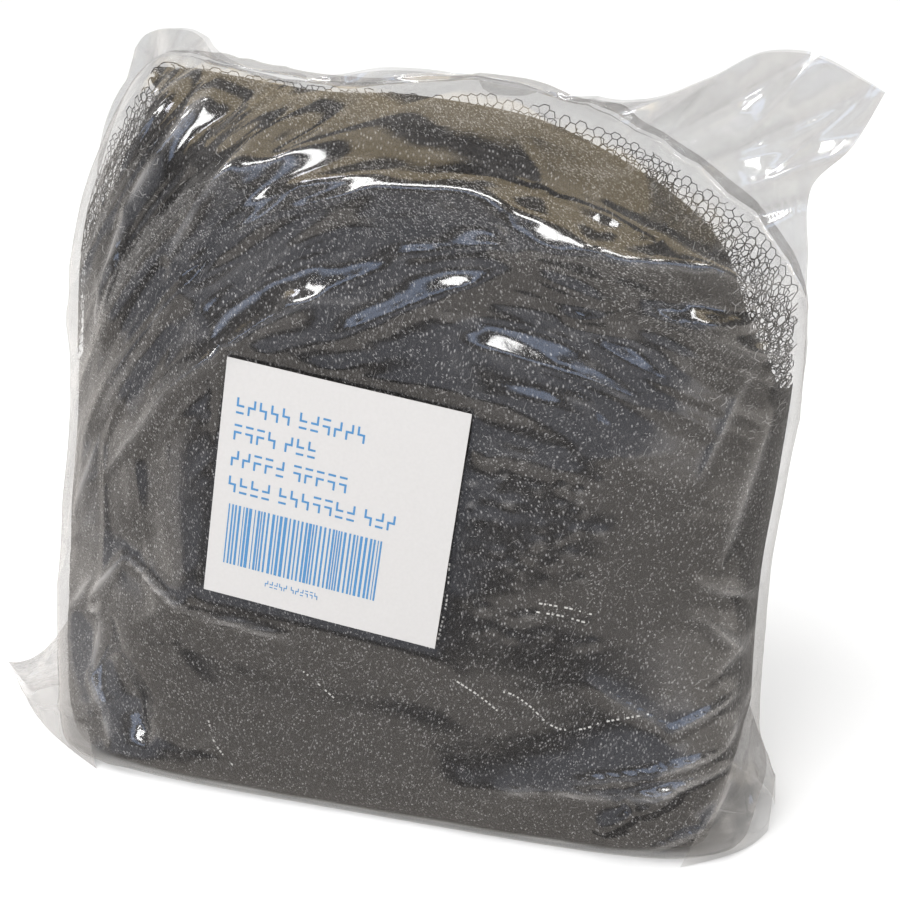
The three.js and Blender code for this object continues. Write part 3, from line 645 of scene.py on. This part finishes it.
# The piles of folded nets: inset from the film at the front and back, the left and the
# right, and rounded in towards the floor
pileSpec = {"inset": 2.8, "left": 2.8, "right": 2.6, "footLeft": 9.0, "footRight": 14.0, "roll": 18.0,
            "sag": 1.6, "least": 1.2, "columns": 190, "rows": 60, "crownRows": 22}
pileTable = {  # crest as across and up shares; near and far faces, and where the crest lies between them
    "pile_front": {"node": "net_stack_front", "near": -52.0, "far": -15.5, "centre": 0.75, "seed": 41,
                   "across": [-1.05, -0.84, -0.7, -0.5, -0.33, -0.05, 0.28, 0.5, 0.68, 0.86, 0.95, 1.05],
                   "up": [0.5, 0.62, 0.76, 0.86, 0.9, 0.92, 0.9, 0.87, 0.815, 0.72, 0.66, 0.56]},
    "pile_middle": {"node": "net_stack_middle", "near": -15.0, "far": 15.0, "centre": 0.5, "seed": 43,
                    "across": [-1.05, -0.94, -0.91, -0.86, -0.76, -0.67, -0.6, -0.46, -0.1, 0.28, 0.47, 0.67, 0.78,
                               0.84, 0.9, 1.0],
                    "up": [0.4, 0.51, 0.62, 0.76, 0.85, 0.94, 0.99, 1.0, 0.985, 0.965, 0.93, 0.87, 0.81, 0.73, 0.665,
                           0.56]},
    "pile_back": {"node": "net_stack_back", "near": 15.5, "far": 52.0, "centre": 0.25, "seed": 47,
                  "across": [-1.05, -0.84, -0.7, -0.4, 0, 0.35, 0.52, 0.63, 0.72, 0.8, 0.88, 1.05],
                  "up": [0.5, 0.72, 0.86, 0.93, 0.95, 0.92, 0.86, 0.8, 0.73, 0.65, 0.57, 0.46]},
}


# A pile's surface: turn goes round it, and climb is 0 on the floor, 1 at the round's foot
# and 2 on the crest, where its front and back meet
def pileSurface(spec, turn, climb):
    top = curveThrough(spec["across"], spec["up"])
    side = np.where(np.sin(turn) < 0, -1, 1)
    across = np.sign(np.cos(turn)) * np.abs(np.cos(turn)) ** 0.8
    x, z = across * 120, climb * 120  # a first guess, which the place across and up then settle by turns
    for _ in range(8):
        up = z / mouthHeight(x)
        leftFoot = pileSpec["footLeft"] * np.clip(1 - z / 26, 0, 1) ** 2
        rightFoot = pileSpec["footRight"] * np.clip(1 - z / 50, 0, 1) ** 2
        left = sectionAt["left"](up) * halfWidth + pileSpec["left"] + leftFoot
        right = np.minimum(sectionAt["right"](up), 0.985) * halfWidth - pileSpec["right"] - rightFoot
        x = (left + right) / 2 + (right - left) / 2 * across
        crest = np.minimum(top(x / halfWidth) * packHeight, crestHeight(x) - pileSpec["inset"] - 0.5)
        z = np.minimum(climb, 1) * (crest - pileSpec["roll"])
        z = z + pileSpec["roll"] * np.sin(np.clip(climb - 1, 0, 1) * np.pi / 2) ** (2 / bag["crownPower"])
        z = np.maximum(z, pileSpec["least"])
    crown = rollOver(z, crest, pileSpec["roll"])
    frontLimit = facePoints(x, z, -1, -pileSpec["inset"])
    backLimit = facePoints(x, z, 1, -pileSpec["inset"])
    low = np.clip(spec["near"], frontLimit, backLimit)
    high = np.clip(spec["far"], frontLimit, backLimit)
    centre = low + (high - low) * spec["centre"]
    thin = np.abs(np.sin(turn)) ** 0.1
    y = centre + np.where(side < 0, low - centre, high - centre) * crown * thin
    outer = (low - frontLimit < 0.1) & (side < 0) | (backLimit - high < 0.1) & (side > 0)
    sag = np.abs(smoothNoise(x + 0.5 * z, z, 19, spec["seed"])) + 0.4 * np.abs(smoothNoise(x, z, 7, spec["seed"] + 1))
    return np.stack([x, y - side * sag * pileSpec["sag"] * outer * crown, z], -1)


def makePile(name, spec):
    turns = np.linspace(0, 2 * np.pi, pileSpec["columns"], endpoint=False)
    climbs = np.concatenate([np.linspace(0.0, 1, pileSpec["rows"])[:-1], np.linspace(1, 2, pileSpec["crownRows"])])
    points = pileSurface(spec, *np.meshgrid(turns, climbs))
    piece = meshObject(name, points, gridQuads(len(climbs), len(turns), closed=True), pile)
    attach(piece, "root")
    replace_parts(piece, spec["node"])


for name, spec in pileTable.items():
    makePile(name, spec)
print("piles made")


# Points and faces of several meshes as one
def joinMeshes(meshes):
    before = np.cumsum([0] + [len(points) for points, _ in meshes[:-1]])
    return (np.concatenate([points for points, _ in meshes]),
            np.concatenate([faces + count for (_, faces), count in zip(meshes, before)]))


# Three-sided bars along segments: two feet beside the segment and one ridge over it, on
# the side that the normal points to
def barMesh(starts, ends, normal, radius):
    along = unit(ends - starts)
    beside = unit(np.cross(along, normal)) * radius
    ridge = np.cross(beside, along)
    corners = [p + o for p in (starts, ends) for o in (beside, ridge, -beside)]
    points = np.stack(corners, 1).reshape(-1, 3)
    base = np.arange(len(starts))[:, None] * 6
    faces = np.concatenate([base + np.array([[a, b, b + 3, a + 3]]) for a, b in ((0, 1), (1, 2), (2, 0))])
    return points, faces


# Knots as small pointed wedges: two ends along the strand, and two corners across it
def knotMesh(middles, halves, normal, radius):
    across = unit(np.cross(halves, normal)) * radius
    proud = unit(np.array(normal)) * radius
    corners = [middles - halves + across * 0.4, middles + halves + across * 0.4, middles - across, middles + proud]
    base = np.arange(len(middles))[:, None] * 4
    faces = np.concatenate([base + np.array([row]) for row in ((0, 2, 1), (0, 1, 3), (1, 2, 3), (2, 0, 3))])
    return np.stack(corners, 1).reshape(-1, 3), faces


def netPiece(name, points, faces, glint):
    piece = meshObject(name, points, faces, yarn)
    addShares(piece, "glint", np.repeat(glint, len(points) // len(glint)))
    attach(piece, "root")
    return piece


# Edges of a field of hexagons, in cell pitches, each listed once
def hexEdges(columns, rows):
    i, j = np.meshgrid(np.arange(columns), np.arange(rows), indexing="ij")
    cx, cy = (i + (j % 2) / 2).ravel(), (j * np.sqrt(3) / 2).ravel()
    h, q = 1 / np.sqrt(3), 1 / (2 * np.sqrt(3))
    pairs = [((0.5, -q), (0.5, q)), ((0.5, q), (0.0, h)), ((0.0, h), (-0.5, q))]
    starts = np.concatenate([np.stack([cx + a[0], cy + a[1]], -1) for a, _ in pairs])
    ends = np.concatenate([np.stack([cx + b[0], cy + b[1]], -1) for _, b in pairs])
    return starts, ends


# Strands between the places of their ends, less those outside the net or stretched too far
def placeStrands(place, starts, ends):
    a, keepA = place(starts)
    b, keepB = place(ends)
    keep = keepA & keepB & (np.linalg.norm(a - b, axis=-1) < netSpec["longest"])
    return a[keep], b[keep]


netSpec = {
    "pitch": 3.0, "rise": 0.866,         # cells apart, and rows apart in pitches
    "wide": 262.0, "tall": 235.0,        # the net laid flat over a pile, before it is gathered
    "gather": 0.9, "longest": 7.0,       # a strand stretched past this is left out
    "crumples": (6.0, 2.5),              # how far broad and fine crumples move a strand
    "radius": 0.09, "lift": 0.35,        # of a strand, and its distance from the pile
    # brightShare: the share of strands that get a painted highlight in their colour
    "brightShare": 0.1, "knotLong": 0.66, "knotWide": 0.18, "knotStray": 0.4, "knotLift": 0.1,
}
netTable = [  # name, pile, side, shear of the field, its lowest climb, seed, and knots for each strand
    ("net_skin_front", "pile_front", -1, 0.5, 0.03, 61, 1.35),
    ("net_skin_middle", "pile_middle", -1, 0.5, 1.3, 64, 1.2),
    ("net_skin_back", "pile_back", 1, 0.4, 0.03, 67, 0.4),
]


# Way in which a net's knots lie at a place, in radians: leaning left at the top left and
# right at the lower right
def knotAngle(x, z, seed):
    lean = np.interp(x * 0.7 - z * 0.6, [-190, -80, -35, 60], [-0.95, -0.8, 0.7, 0.95])
    return lean + 0.35 * smoothNoise(x, z, 26, seed)


# A net gathered over a pile: a field of hexagons is squeezed, crumpled by noise and laid
# over the pile's turn and climb. Its strands are dark, and its knots and some strands carry painted highlights in
# their colour
def makeNetSkin(name, pile, side, lean, low, seed, knotShare):
    spec, wide, tall = pileTable[pile], netSpec["wide"], netSpec["tall"]
    columns = int(wide / netSpec["pitch"] / netSpec["gather"]) + 30
    rows = int(tall / netSpec["pitch"] / netSpec["rise"]) + 20
    broad, fine = netSpec["crumples"]
    random = np.random.default_rng(seed)

    def place(flat):
        u = (flat[:, 0] - columns / 2) * netSpec["pitch"] * netSpec["gather"]
        v = (flat[:, 1] - rows * (netSpec["rise"] / 2)) * netSpec["pitch"]
        u, v = u + lean * v, v + broad * smoothNoise(u, v, 30, seed) + fine * smoothNoise(u, v, 11, seed + 1)
        u = u + broad * smoothNoise(u, v, 34, seed + 2) + fine * smoothNoise(u, v, 10, seed + 3)
        across, climb = u / wide * 2, (v / tall + 0.5) * 2
        keep = (np.abs(across) < 0.98) & (climb > low) & (climb < 1.97)
        angle = np.arccos(np.clip(np.sign(across) * np.abs(across) ** 1.25, -1, 1))
        turn = 2 * np.pi - angle if side < 0 else angle
        point = pileSurface(spec, turn, np.clip(climb, 0.03, 1.97))
        point[:, 1] += side * netSpec["lift"]
        return point, keep
    a, b = placeStrands(place, *hexEdges(columns, rows))
    # painted highlight: some strands get a glint share that pales their colour
    glint = np.where(random.uniform(size=len(a)) < netSpec["brightShare"], random.uniform(0.05, 0.35, len(a)), 0)
    normal = (0.0, side, 0.3)
    netPiece(name, *barMesh(a, b, normal, netSpec["radius"]), glint)
    print(name, len(a) * 6, "triangles")
    chosen = random.integers(0, len(a), int(knotShare * len(a)))
    c = a[chosen] + (b - a)[chosen] * random.uniform(size=(len(chosen), 1))
    c = c + random.normal(0, netSpec["knotStray"], c.shape) * [1, 0, 1]
    turn = knotAngle(c[:, 0], c[:, 2], seed)
    half = np.stack([np.cos(turn), np.zeros(len(c)), np.sin(turn)], -1) * netSpec["knotLong"] / 2
    half = half * random.uniform(0.6, 1.5, (len(c), 1))
    c[:, 1] += side * netSpec["knotLift"]
    # each knot's painted highlight: how far its colour is mixed towards the pale glint colour
    shine = random.uniform(size=len(c)) ** 1.6
    netPiece(name + "_knots", *knotMesh(c, half, normal, netSpec["knotWide"]), shine)
    print(name, "knots", len(c) * 4, "triangles")


for row in netTable:
    makeNetSkin(*row)

# Loose single nets in the room over the piles, each a lobe of one or more folds. A fold is
# given as its distance below the outline and its place behind the lobe's depth
looseTable = [
    {"name": "loose_mesh_right", "node": "loose_net_right", "foot": 0.6, "depth": -12.0, "seed": 81,
     "middle": 0.76, "left": 0.5, "right": 1.0,
     "outline": [(0.5, 0.93), (0.62, 0.93), (0.72, 0.905), (0.8, 0.88), (0.87, 0.845), (0.925, 0.81), (0.97, 0.765),
                 (1.0, 0.7)],
     "folds": [(0, 0), (4, -5), (7, 4), (10, -8), (13, 2), (17, -4), (21, 5), (26, -6)]},
    {"name": "loose_mesh_top", "node": "loose_net_top", "foot": 0.86, "depth": -5.0, "seed": 84,
     "middle": 0.93, "left": -0.65, "right": 0.66,
     "outline": [(-0.65, 0.96), (-0.5, 1.01), (-0.2, 0.99), (0.1, 0.985), (0.2, 0.993), (0.35, 0.988), (0.5, 0.966),
                 (0.6, 0.938), (0.66, 0.915)],
     "folds": [(0, 0), (3, -5), (6, 4)]},
    {"name": "loose_mesh_left", "node": "loose_net_left", "foot": 0.6, "depth": -9.0, "seed": 87,
     "middle": 0.82, "left": -0.95, "right": -0.58,
     "outline": [(-0.93, 0.68), (-0.88, 0.79), (-0.82, 0.87), (-0.75, 0.93), (-0.68, 0.98), (-0.58, 1.0)],
     "folds": [(0, 0), (4, -5), (7, 4), (10, -2), (2, 3), (5, 1)]},
]
looseSpec = {
    "tall": 95.0, "hang": 42.0,         # the field laid out, and how far a net hangs below its fold
    "turn": 0.25, "turnStep": 0.7,      # the field's turn in radians, and what each further fold adds
    "stray": 2.2, "margin": 2.4,        # strands wander this much, and stay this far from crest and sides
    "crowd": 5.0,                       # height under a fold in which its strands crowd together
    "radius": 0.15, "inset": 2.2, "lean": 0.35,
    # brightShare and bright: the share of strands with a painted highlight, and how far it pales them
    "brightShare": 0.1, "bright": 0.4,
}


# A lobe stands in the plane of its depth, under its outline, and keeps inside the film
def makeLoose(spec):
    edge = curveThrough(*np.array(spec["outline"]).T)
    meshes, glints = [], []
    left, right = spec["left"] * halfWidth, spec["right"] * halfWidth
    stray, margin, crowd = (looseSpec[key] for key in ("stray", "margin", "crowd"))
    for number, (below, back) in enumerate(spec["folds"]):
        seed = spec["seed"] + 10 * number
        across = np.hypot((spec["right"] - spec["left"]) * halfWidth, looseSpec["tall"])  # wide enough to be turned
        columns = int(across / netSpec["pitch"]) + 2
        turn = looseSpec["turn"] + looseSpec["turnStep"] * number

        def place(flat):
            u, v = ((flat[:, i] - columns / 2) * netSpec["pitch"] for i in (0, 1))
            x = (spec["left"] + spec["right"]) / 2 * halfWidth + u * np.cos(turn) - v * np.sin(turn)
            z = spec["middle"] * packHeight + u * np.sin(turn) + v * np.cos(turn)
            x = x + stray * smoothNoise(x, z, 15, seed)
            z = z + stray * smoothNoise(x, z, 13, seed + 1)
            top = np.minimum(edge(x / halfWidth) * packHeight, crestHeight(x) - margin) - below
            squeeze = np.clip((top - z) / crowd, -1, 1)
            z = np.where(top - z < crowd, top - crowd * np.maximum(squeeze, 0) ** 1.3, z)
            keep = (x > left) & (x < right) & (squeeze > -0.05)
            keep &= (z > spec["foot"] * packHeight) & (top - z < looseSpec["hang"])
            leftEdge, rightEdge = sideEdges(z / mouthHeight(x), -margin)
            keep &= (x > leftEdge) & (x < rightEdge)
            y = (spec["depth"] + back) * np.clip((top - z) / 14, 0.12, 1) + 1.5 * smoothNoise(x, z, 18, seed + 2)
            y = y - looseSpec["lean"] * np.clip(top - z - 3, 0, 60)
            y = np.clip(y, *(facePoints(x, z, side, -looseSpec["inset"]) for side in (-1, 1)))
            return np.stack([x, y, z], -1), keep
        a, b = placeStrands(place, *hexEdges(columns, int(columns / netSpec["rise"])))
        meshes.append(barMesh(a, b, (0.0, -1, 0), looseSpec["radius"]))
        # painted highlight: some strands get a glint share that pales their colour
        bright = np.random.default_rng(seed).uniform(size=len(a)) < looseSpec["brightShare"]
        glints.append(np.where(bright, looseSpec["bright"], 0))
    piece = netPiece(spec["name"], *joinMeshes(meshes), np.concatenate(glints))
    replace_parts(piece, spec["node"])
    print(spec["name"], len(piece.data.polygons) * 2, "triangles")


for spec in looseTable:
    makeLoose(spec)
print("loose nets made")


# A tuft: loops of strand in a loose egg-shaped heap, each loop an arc of a tilted circle
tuftSpec = {"loops": 260, "pieces": 12, "radius": 0.19, "seed": 7}


def makeTuft():
    low, high = (np.array(corner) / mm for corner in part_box("net_tuft"))
    middle, half = (low + high) / 2 - shift, (high - low) / 2
    random = np.random.default_rng(tuftSpec["seed"])
    loops, pieces = tuftSpec["loops"], tuftSpec["pieces"]
    u = random.normal(size=(loops, 1, 3))
    v = np.cross(u, random.normal(size=(loops, 1, 3)))
    u, v = unit(u), unit(v)
    centre = random.normal(size=(loops, 1, 3)) * [0.38, 0.38, 0.3] - [0, 0, 0.25]
    size = random.uniform(0.2, 0.6, (loops, 1, 1))
    angle = np.linspace(0, 1, pieces + 1)[None, :, None] * random.uniform(2, 5.5, (loops, 1, 1))
    path = centre + size * (u * np.cos(angle) + v * np.sin(angle))
    reach = np.linalg.norm(path, axis=-1, keepdims=True)
    path = middle + path / np.maximum(reach, 1) * half
    a, b = path[:, :-1].reshape(-1, 3), path[:, 1:].reshape(-1, 3)
    points, faces = barMesh(a, b, (0.0, -1, 0.4), tuftSpec["radius"])
    # painted highlight: some loops get a glint share that pales their colour
    glint = np.where(random.uniform(size=len(a)) < 0.15, random.uniform(0.1, 0.5, len(a)), 0)
    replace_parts(netPiece("tuft", points, faces, glint), "net_tuft")


makeTuft()

# Elastic edges of single nets: dashed pale arcs that show through the yarn
elasticTable = [
    [(58, 97), (67, 96), (75, 94)], [(54, 94), (65, 93), (73, 91)], [(30, 66), (38, 61), (45, 55)],
    [(45, 63), (50, 62), (56, 58), (61, 53), (66, 51), (73, 52), (79, 55), (95, 59)],
    [(-23, 59), (-18, 55), (-11, 49)], [(-60, 32), (-59, 24), (-56, 18), (-52, 13)], [(29, 108), (28, 94), (25, 79)],
]
elasticSpec = {"stitch": 0.9, "pitch": 1.6, "radius": 0.34, "seen": 0.75, "seed": 9,
               "lift": 1.0}  # inwards from the film


def makeElastics():
    a, b = [], []
    for route in elasticTable:
        route = np.array(route, float)
        lengths = np.concatenate([[0], np.cumsum(np.linalg.norm(np.diff(route, axis=0), axis=1))])
        at = np.arange(0, lengths[-1] - elasticSpec["stitch"], elasticSpec["pitch"])
        for ends, offset in ((a, 0.0), (b, elasticSpec["stitch"])):
            x, z = (curveThrough(lengths, route[:, i])(at + offset) for i in (0, 1))
            ends.append(np.stack([x, facePoints(x, z, -1, -elasticSpec["lift"]), z], -1))
    a, b = np.concatenate(a), np.concatenate(b)
    random = np.random.default_rng(elasticSpec["seed"])
    b = a + (b - a) * random.uniform(0.5, 1.3, (len(a), 1))
    keep = random.uniform(size=len(a)) < elasticSpec["seen"]
    points, faces = barMesh(a[keep], b[keep], (0.0, -1, 0), elasticSpec["radius"])
    piece = meshObject("elastic_edges", points, faces, elastic)
    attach(piece, "root")


makeElastics()
print("tuft and elastic edges made")


# Label: a sheet on the film's bulge, closed at its edges, that curls a little towards its top and bottom
def labelPoints(u, v, lift):
    turn = np.radians(labelSpec["tilt"])
    dx, dz = u * labelSpec["width"], v * labelSpec["height"]
    x = labelSpec["across"] + dx * np.cos(turn) + dz * np.sin(turn)
    z = labelSpec["up"] - dx * np.sin(turn) + dz * np.cos(turn)
    y = facePoints(x, z, -1, lift) - labelSpec["curl"] * np.sin(u * 7 + v * 4) * v
    return np.stack([x, y, z], -1)


def slabMesh(u, v, low, thick):
    front, back = labelPoints(u, v, low + thick), labelPoints(u, v, low)
    index = np.arange(u.size).reshape(u.shape)
    rim = np.concatenate([index[0, :-1], index[:-1, -1], index[-1, :0:-1], index[:0:-1, 0]])
    turned = np.roll(rim, -1)
    walls = np.stack([rim + u.size, turned + u.size, turned, rim], -1)
    quads = gridQuads(*u.shape)
    faces = np.concatenate([quads, quads[:, ::-1] + u.size, walls])
    return np.concatenate([front.reshape(-1, 3), back.reshape(-1, 3)]), faces


def makeLabel():
    u, v = np.meshgrid(np.linspace(-0.5, 0.5, 30), np.linspace(-0.5, 0.5, 30))
    points, faces = slabMesh(u, v, labelSpec["lift"], labelSpec["thick"])
    piece = meshObject("label_sheet", points, faces, paper, smooth=False)
    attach(piece, "root")
    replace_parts(piece, "label")


# Plain marks on the label: rows of stroke marks that spell nothing, and a block of uneven
# stripes that encode nothing
markRows = [  # height of the row's middle, the marks in each group, and the marks' height, as shares
    (0.315, (5, 6), 0.066), (0.205, (4, 3), 0.066), (0.095, (5, 5), 0.066), (-0.015, (4, 7, 3), 0.066),
    (-0.405, (5, 6), 0.028),
]
markSpec = {"left": -0.44, "pitch": 0.048, "wide": 0.032, "stroke": 0.0085, "tall": 0.066, "indent": 0.2,
            "sunk": 0.02, "thick": 0.08, "seed": 3}  # sunk and thick in millimetres, the rest as shares
stripes = {"seed": 17, "left": -0.44, "right": 0.225, "thin": 0.004, "thick": 0.013, "low": -0.36, "high": -0.1}


# Strokes of a mark: level ones at its foot, middle and top, and half uprights at either side.
# The shapes chosen are no letter or digit
markShapes = [("lowLeft", "middle", "highRight"), ("highLeft", "middle", "lowRight"), ("top", "middle", "lowLeft"),
              ("top", "middle", "lowRight"), ("foot", "middle", "highLeft"), ("foot", "middle", "highRight")]


def markBars(shape, left, right, low, high, stroke):
    under, over = (low + high - stroke) / 2, (low + high + stroke) / 2
    bars = {"foot": (left, right, low, low + stroke), "middle": (left, right, under, over),
            "top": (left, right, high - stroke, high),
            "lowLeft": (left, left + stroke, low, under), "highLeft": (left, left + stroke, over, high),
            "lowRight": (right - stroke, right, low, under), "highRight": (right - stroke, right, over, high)}
    return [bars[name] for name in shape]


def markStrokes():
    random = np.random.default_rng(markSpec["seed"])
    bars = []
    for middle, groups, tall in markRows:
        size = tall / markSpec["tall"]
        left = markSpec["left"] + (markSpec["indent"] if size < 1 else 0)
        wide, stroke, step = (markSpec[key] * size for key in ("wide", "stroke", "pitch"))
        for count in groups:
            for _ in range(count):
                shape = markShapes[random.integers(len(markShapes))]
                bars += markBars(shape, left, left + wide, middle - tall / 2, middle + tall / 2, stroke)
                left += step
            left += step * 0.5
    return bars


def stripeBars():
    widths = np.random.default_rng(stripes["seed"]).uniform(stripes["thin"], stripes["thick"], 200)
    edges = stripes["left"] + np.cumsum(widths)
    edges = edges[edges < stripes["right"]]
    return [(left, right, stripes["low"], stripes["high"]) for left, right in zip(edges[:-1:2], edges[1::2])]


def makeMarks():
    low = labelSpec["lift"] + labelSpec["thick"] - markSpec["sunk"]
    meshes = [slabMesh(*np.meshgrid(np.linspace(left, right, 2), np.linspace(foot, top, 3)), low, markSpec["thick"])
              for left, right, foot, top in markStrokes() + stripeBars()]
    piece = meshObject("label_marks", *joinMeshes(meshes), ink, smooth=False)
    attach(piece, "root")


makeLabel()
makeMarks()
print("label made")

# Stage: a pale floor, a studio of soft boxes and boards, and the camera at the photograph's angle
view = {"azimuth": 17.0, "elevation": 23.0, "distance": 650.0, "focus": (14.0, 0.0, 125.0), "lens": 76.7}
# Azimuth and elevation of a board's middle, its width and height in degrees, its strength,
# its colour and its soft edge
boardTable = [
    (-108, 33, 40, 13, 17.0, "#FFFFFF", 4),
    (-150, 44, 14, 10, 14.0, "#F2F4FF", 3),
    (-70, 42, 10, 8, 16.0, "#FFFFFF", 2),
    (-55, 32, 22, 11, 14.0, "#FFFFFF", 3),
    (-104, 17, 70, 15, 3.2, "#B3C5E6", 6),
    (-52, 12, 36, 20, 3.2, "#B3C5E6", 6),
    (-104, -12, 120, 34, 0.7, "#D5DCEE", 10),
    (-108, 66, 110, 30, 2.9, "#D3C09A", 8),
    (72, 58, 120, 44, 2.6, "#D3C09A", 8),
    (90, 6, 178, 26, 0.5, "#FFFDFA", 8),
    (90, -30, 178, 60, 0.6, "#F6F1EC", 6),
    (-20, -14, 84, 34, 0.7, "#EFE8E0", 8),
    (-190, -16, 84, 36, 0.65, "#EFEAE4", 8),
    (-105, -64, 178, 66, 0.95, "#EDE5DC", 7),
]
studioDark = (0.05, 0.045, 0.04)  # what the film reflects between the boards
floorReach = 3000.0  # from the middle to each side
softBox = {"size": (0.9, 0.7), "energy": 13.0, "place": (-250, -650, 1100), "aim": (0, 0, 120)}


def makeCamera():
    a, e = np.radians(view["azimuth"]), np.radians(view["elevation"])
    back = np.array([np.sin(a) * np.cos(e), -np.cos(a) * np.cos(e), np.sin(e)])
    data = bpy.data.cameras.new("camera")
    data.lens = view["lens"]
    data.sensor_width = 36.0
    camera = bpy.data.objects.new("camera", data)
    bpy.context.scene.collection.objects.link(camera)
    camera.location = Vector((np.array(view["focus"]) + shift + back * view["distance"]) * mm)
    camera.rotation_euler = Vector(-back).to_track_quat("-Z", "Y").to_euler()
    bpy.context.scene.camera = camera


def makeFloor():
    material = mottledMaterial("white_paper_sweep", "#FBFBFB", "#FBFBFB", 40.0, 0.9, 0.0001)
    points = np.array([[x, y, 0.0] for x, y in ((-1, -1), (1, -1), (1, 1), (-1, 1))]) * floorReach - shift
    floor = meshObject("floor", points, [[0, 1, 2, 3]], material, smooth=False)
    floor.visible_glossy = False  # the boards below stand for what the film reflects


# A board in the studio, seen by direction alone: 1 inside its width and height, with soft
# edges, times its strength and colour
def addBoard(tree, direction, azimuth, elevation, width, height, strength, code, soft):
    a, e = np.radians(azimuth), np.radians(elevation)
    out = (np.cos(a) * np.cos(e), np.sin(a) * np.cos(e), np.sin(e))
    right = (-np.sin(a), np.cos(a), 0.0)
    up = (-np.cos(a) * np.sin(e), -np.sin(a) * np.sin(e), np.cos(e))
    front = addNode(tree, "VectorMath", {"operation": "DOT_PRODUCT"}, {1: out}, {0: direction})
    share = addNode(tree, "Math", {"operation": "GREATER_THAN"}, {1: 0.0}, {0: front.outputs["Value"]})
    for axis, size in ((right, width), (up, height)):
        along = addNode(tree, "VectorMath", {"operation": "DOT_PRODUCT"}, {1: axis}, {0: direction})
        away = addNode(tree, "Math", {"operation": "ABSOLUTE"}, None, {0: along.outputs["Value"]})
        half = np.sin(np.radians(min(size / 2, 89)))
        near = np.sin(np.radians(max(min(size / 2, 89) - soft, 0)))
        edge = addNode(tree, "MapRange", {"interpolation_type": "SMOOTHSTEP"},
                       {"From Min": half, "From Max": near}, {"Value": away})
        share = addNode(tree, "Math", {"operation": "MULTIPLY"}, None, {0: share, 1: edge})
    colour = [c * strength for c in hexColour(code)[:3]]
    return addNode(tree, "VectorMath", {"operation": "SCALE"}, {0: colour}, {"Scale": share})


def makeWorld():
    world = bpy.data.worlds.new("studio")
    bpy.context.scene.world = world
    world.use_nodes = True
    tree = world.node_tree
    tree.nodes.clear()
    direction = addNode(tree, "TexCoord").outputs["Generated"]
    total = None
    for row in boardTable:
        board = addBoard(tree, direction, *row)
        total = board if total is None else addNode(tree, "VectorMath", {"operation": "ADD"}, None,
                                                    {0: total, 1: board})
    dark = addNode(tree, "VectorMath", {"operation": "ADD"}, {1: studioDark}, {0: total})
    path = addNode(tree, "LightPath")
    white = addNode(tree, "Background", values={"Color": (1, 1, 1, 1), "Strength": 1.0})
    boards = addNode(tree, "Background", links={"Color": dark})
    mixed = addNode(tree, "MixShader", links={0: path.outputs["Is Glossy Ray"], 1: white,
                                                        2: boards})
    addNode(tree, "OutputWorld", links={"Surface": mixed})


# A broad soft box over the front, which the film doesn't mirror
def makeSoftBox():
    data = bpy.data.lights.new("soft_box", "AREA")
    data.shape = "RECTANGLE"
    data.size, data.size_y = softBox["size"]
    data.energy = softBox["energy"]
    light = bpy.data.objects.new("soft_box", data)
    bpy.context.scene.collection.objects.link(light)
    place = Vector(softBox["place"])
    light.location = place * mm
    light.rotation_euler = (Vector(softBox["aim"]) - place).to_track_quat("-Z", "Y").to_euler()
    light.visible_glossy = False


makeCamera()
makeFloor()
makeWorld()
makeSoftBox()
bpy.context.scene.view_settings.view_transform = "Standard"
bpy.context.scene.cycles.transparent_max_bounces = 24
print("stage made")
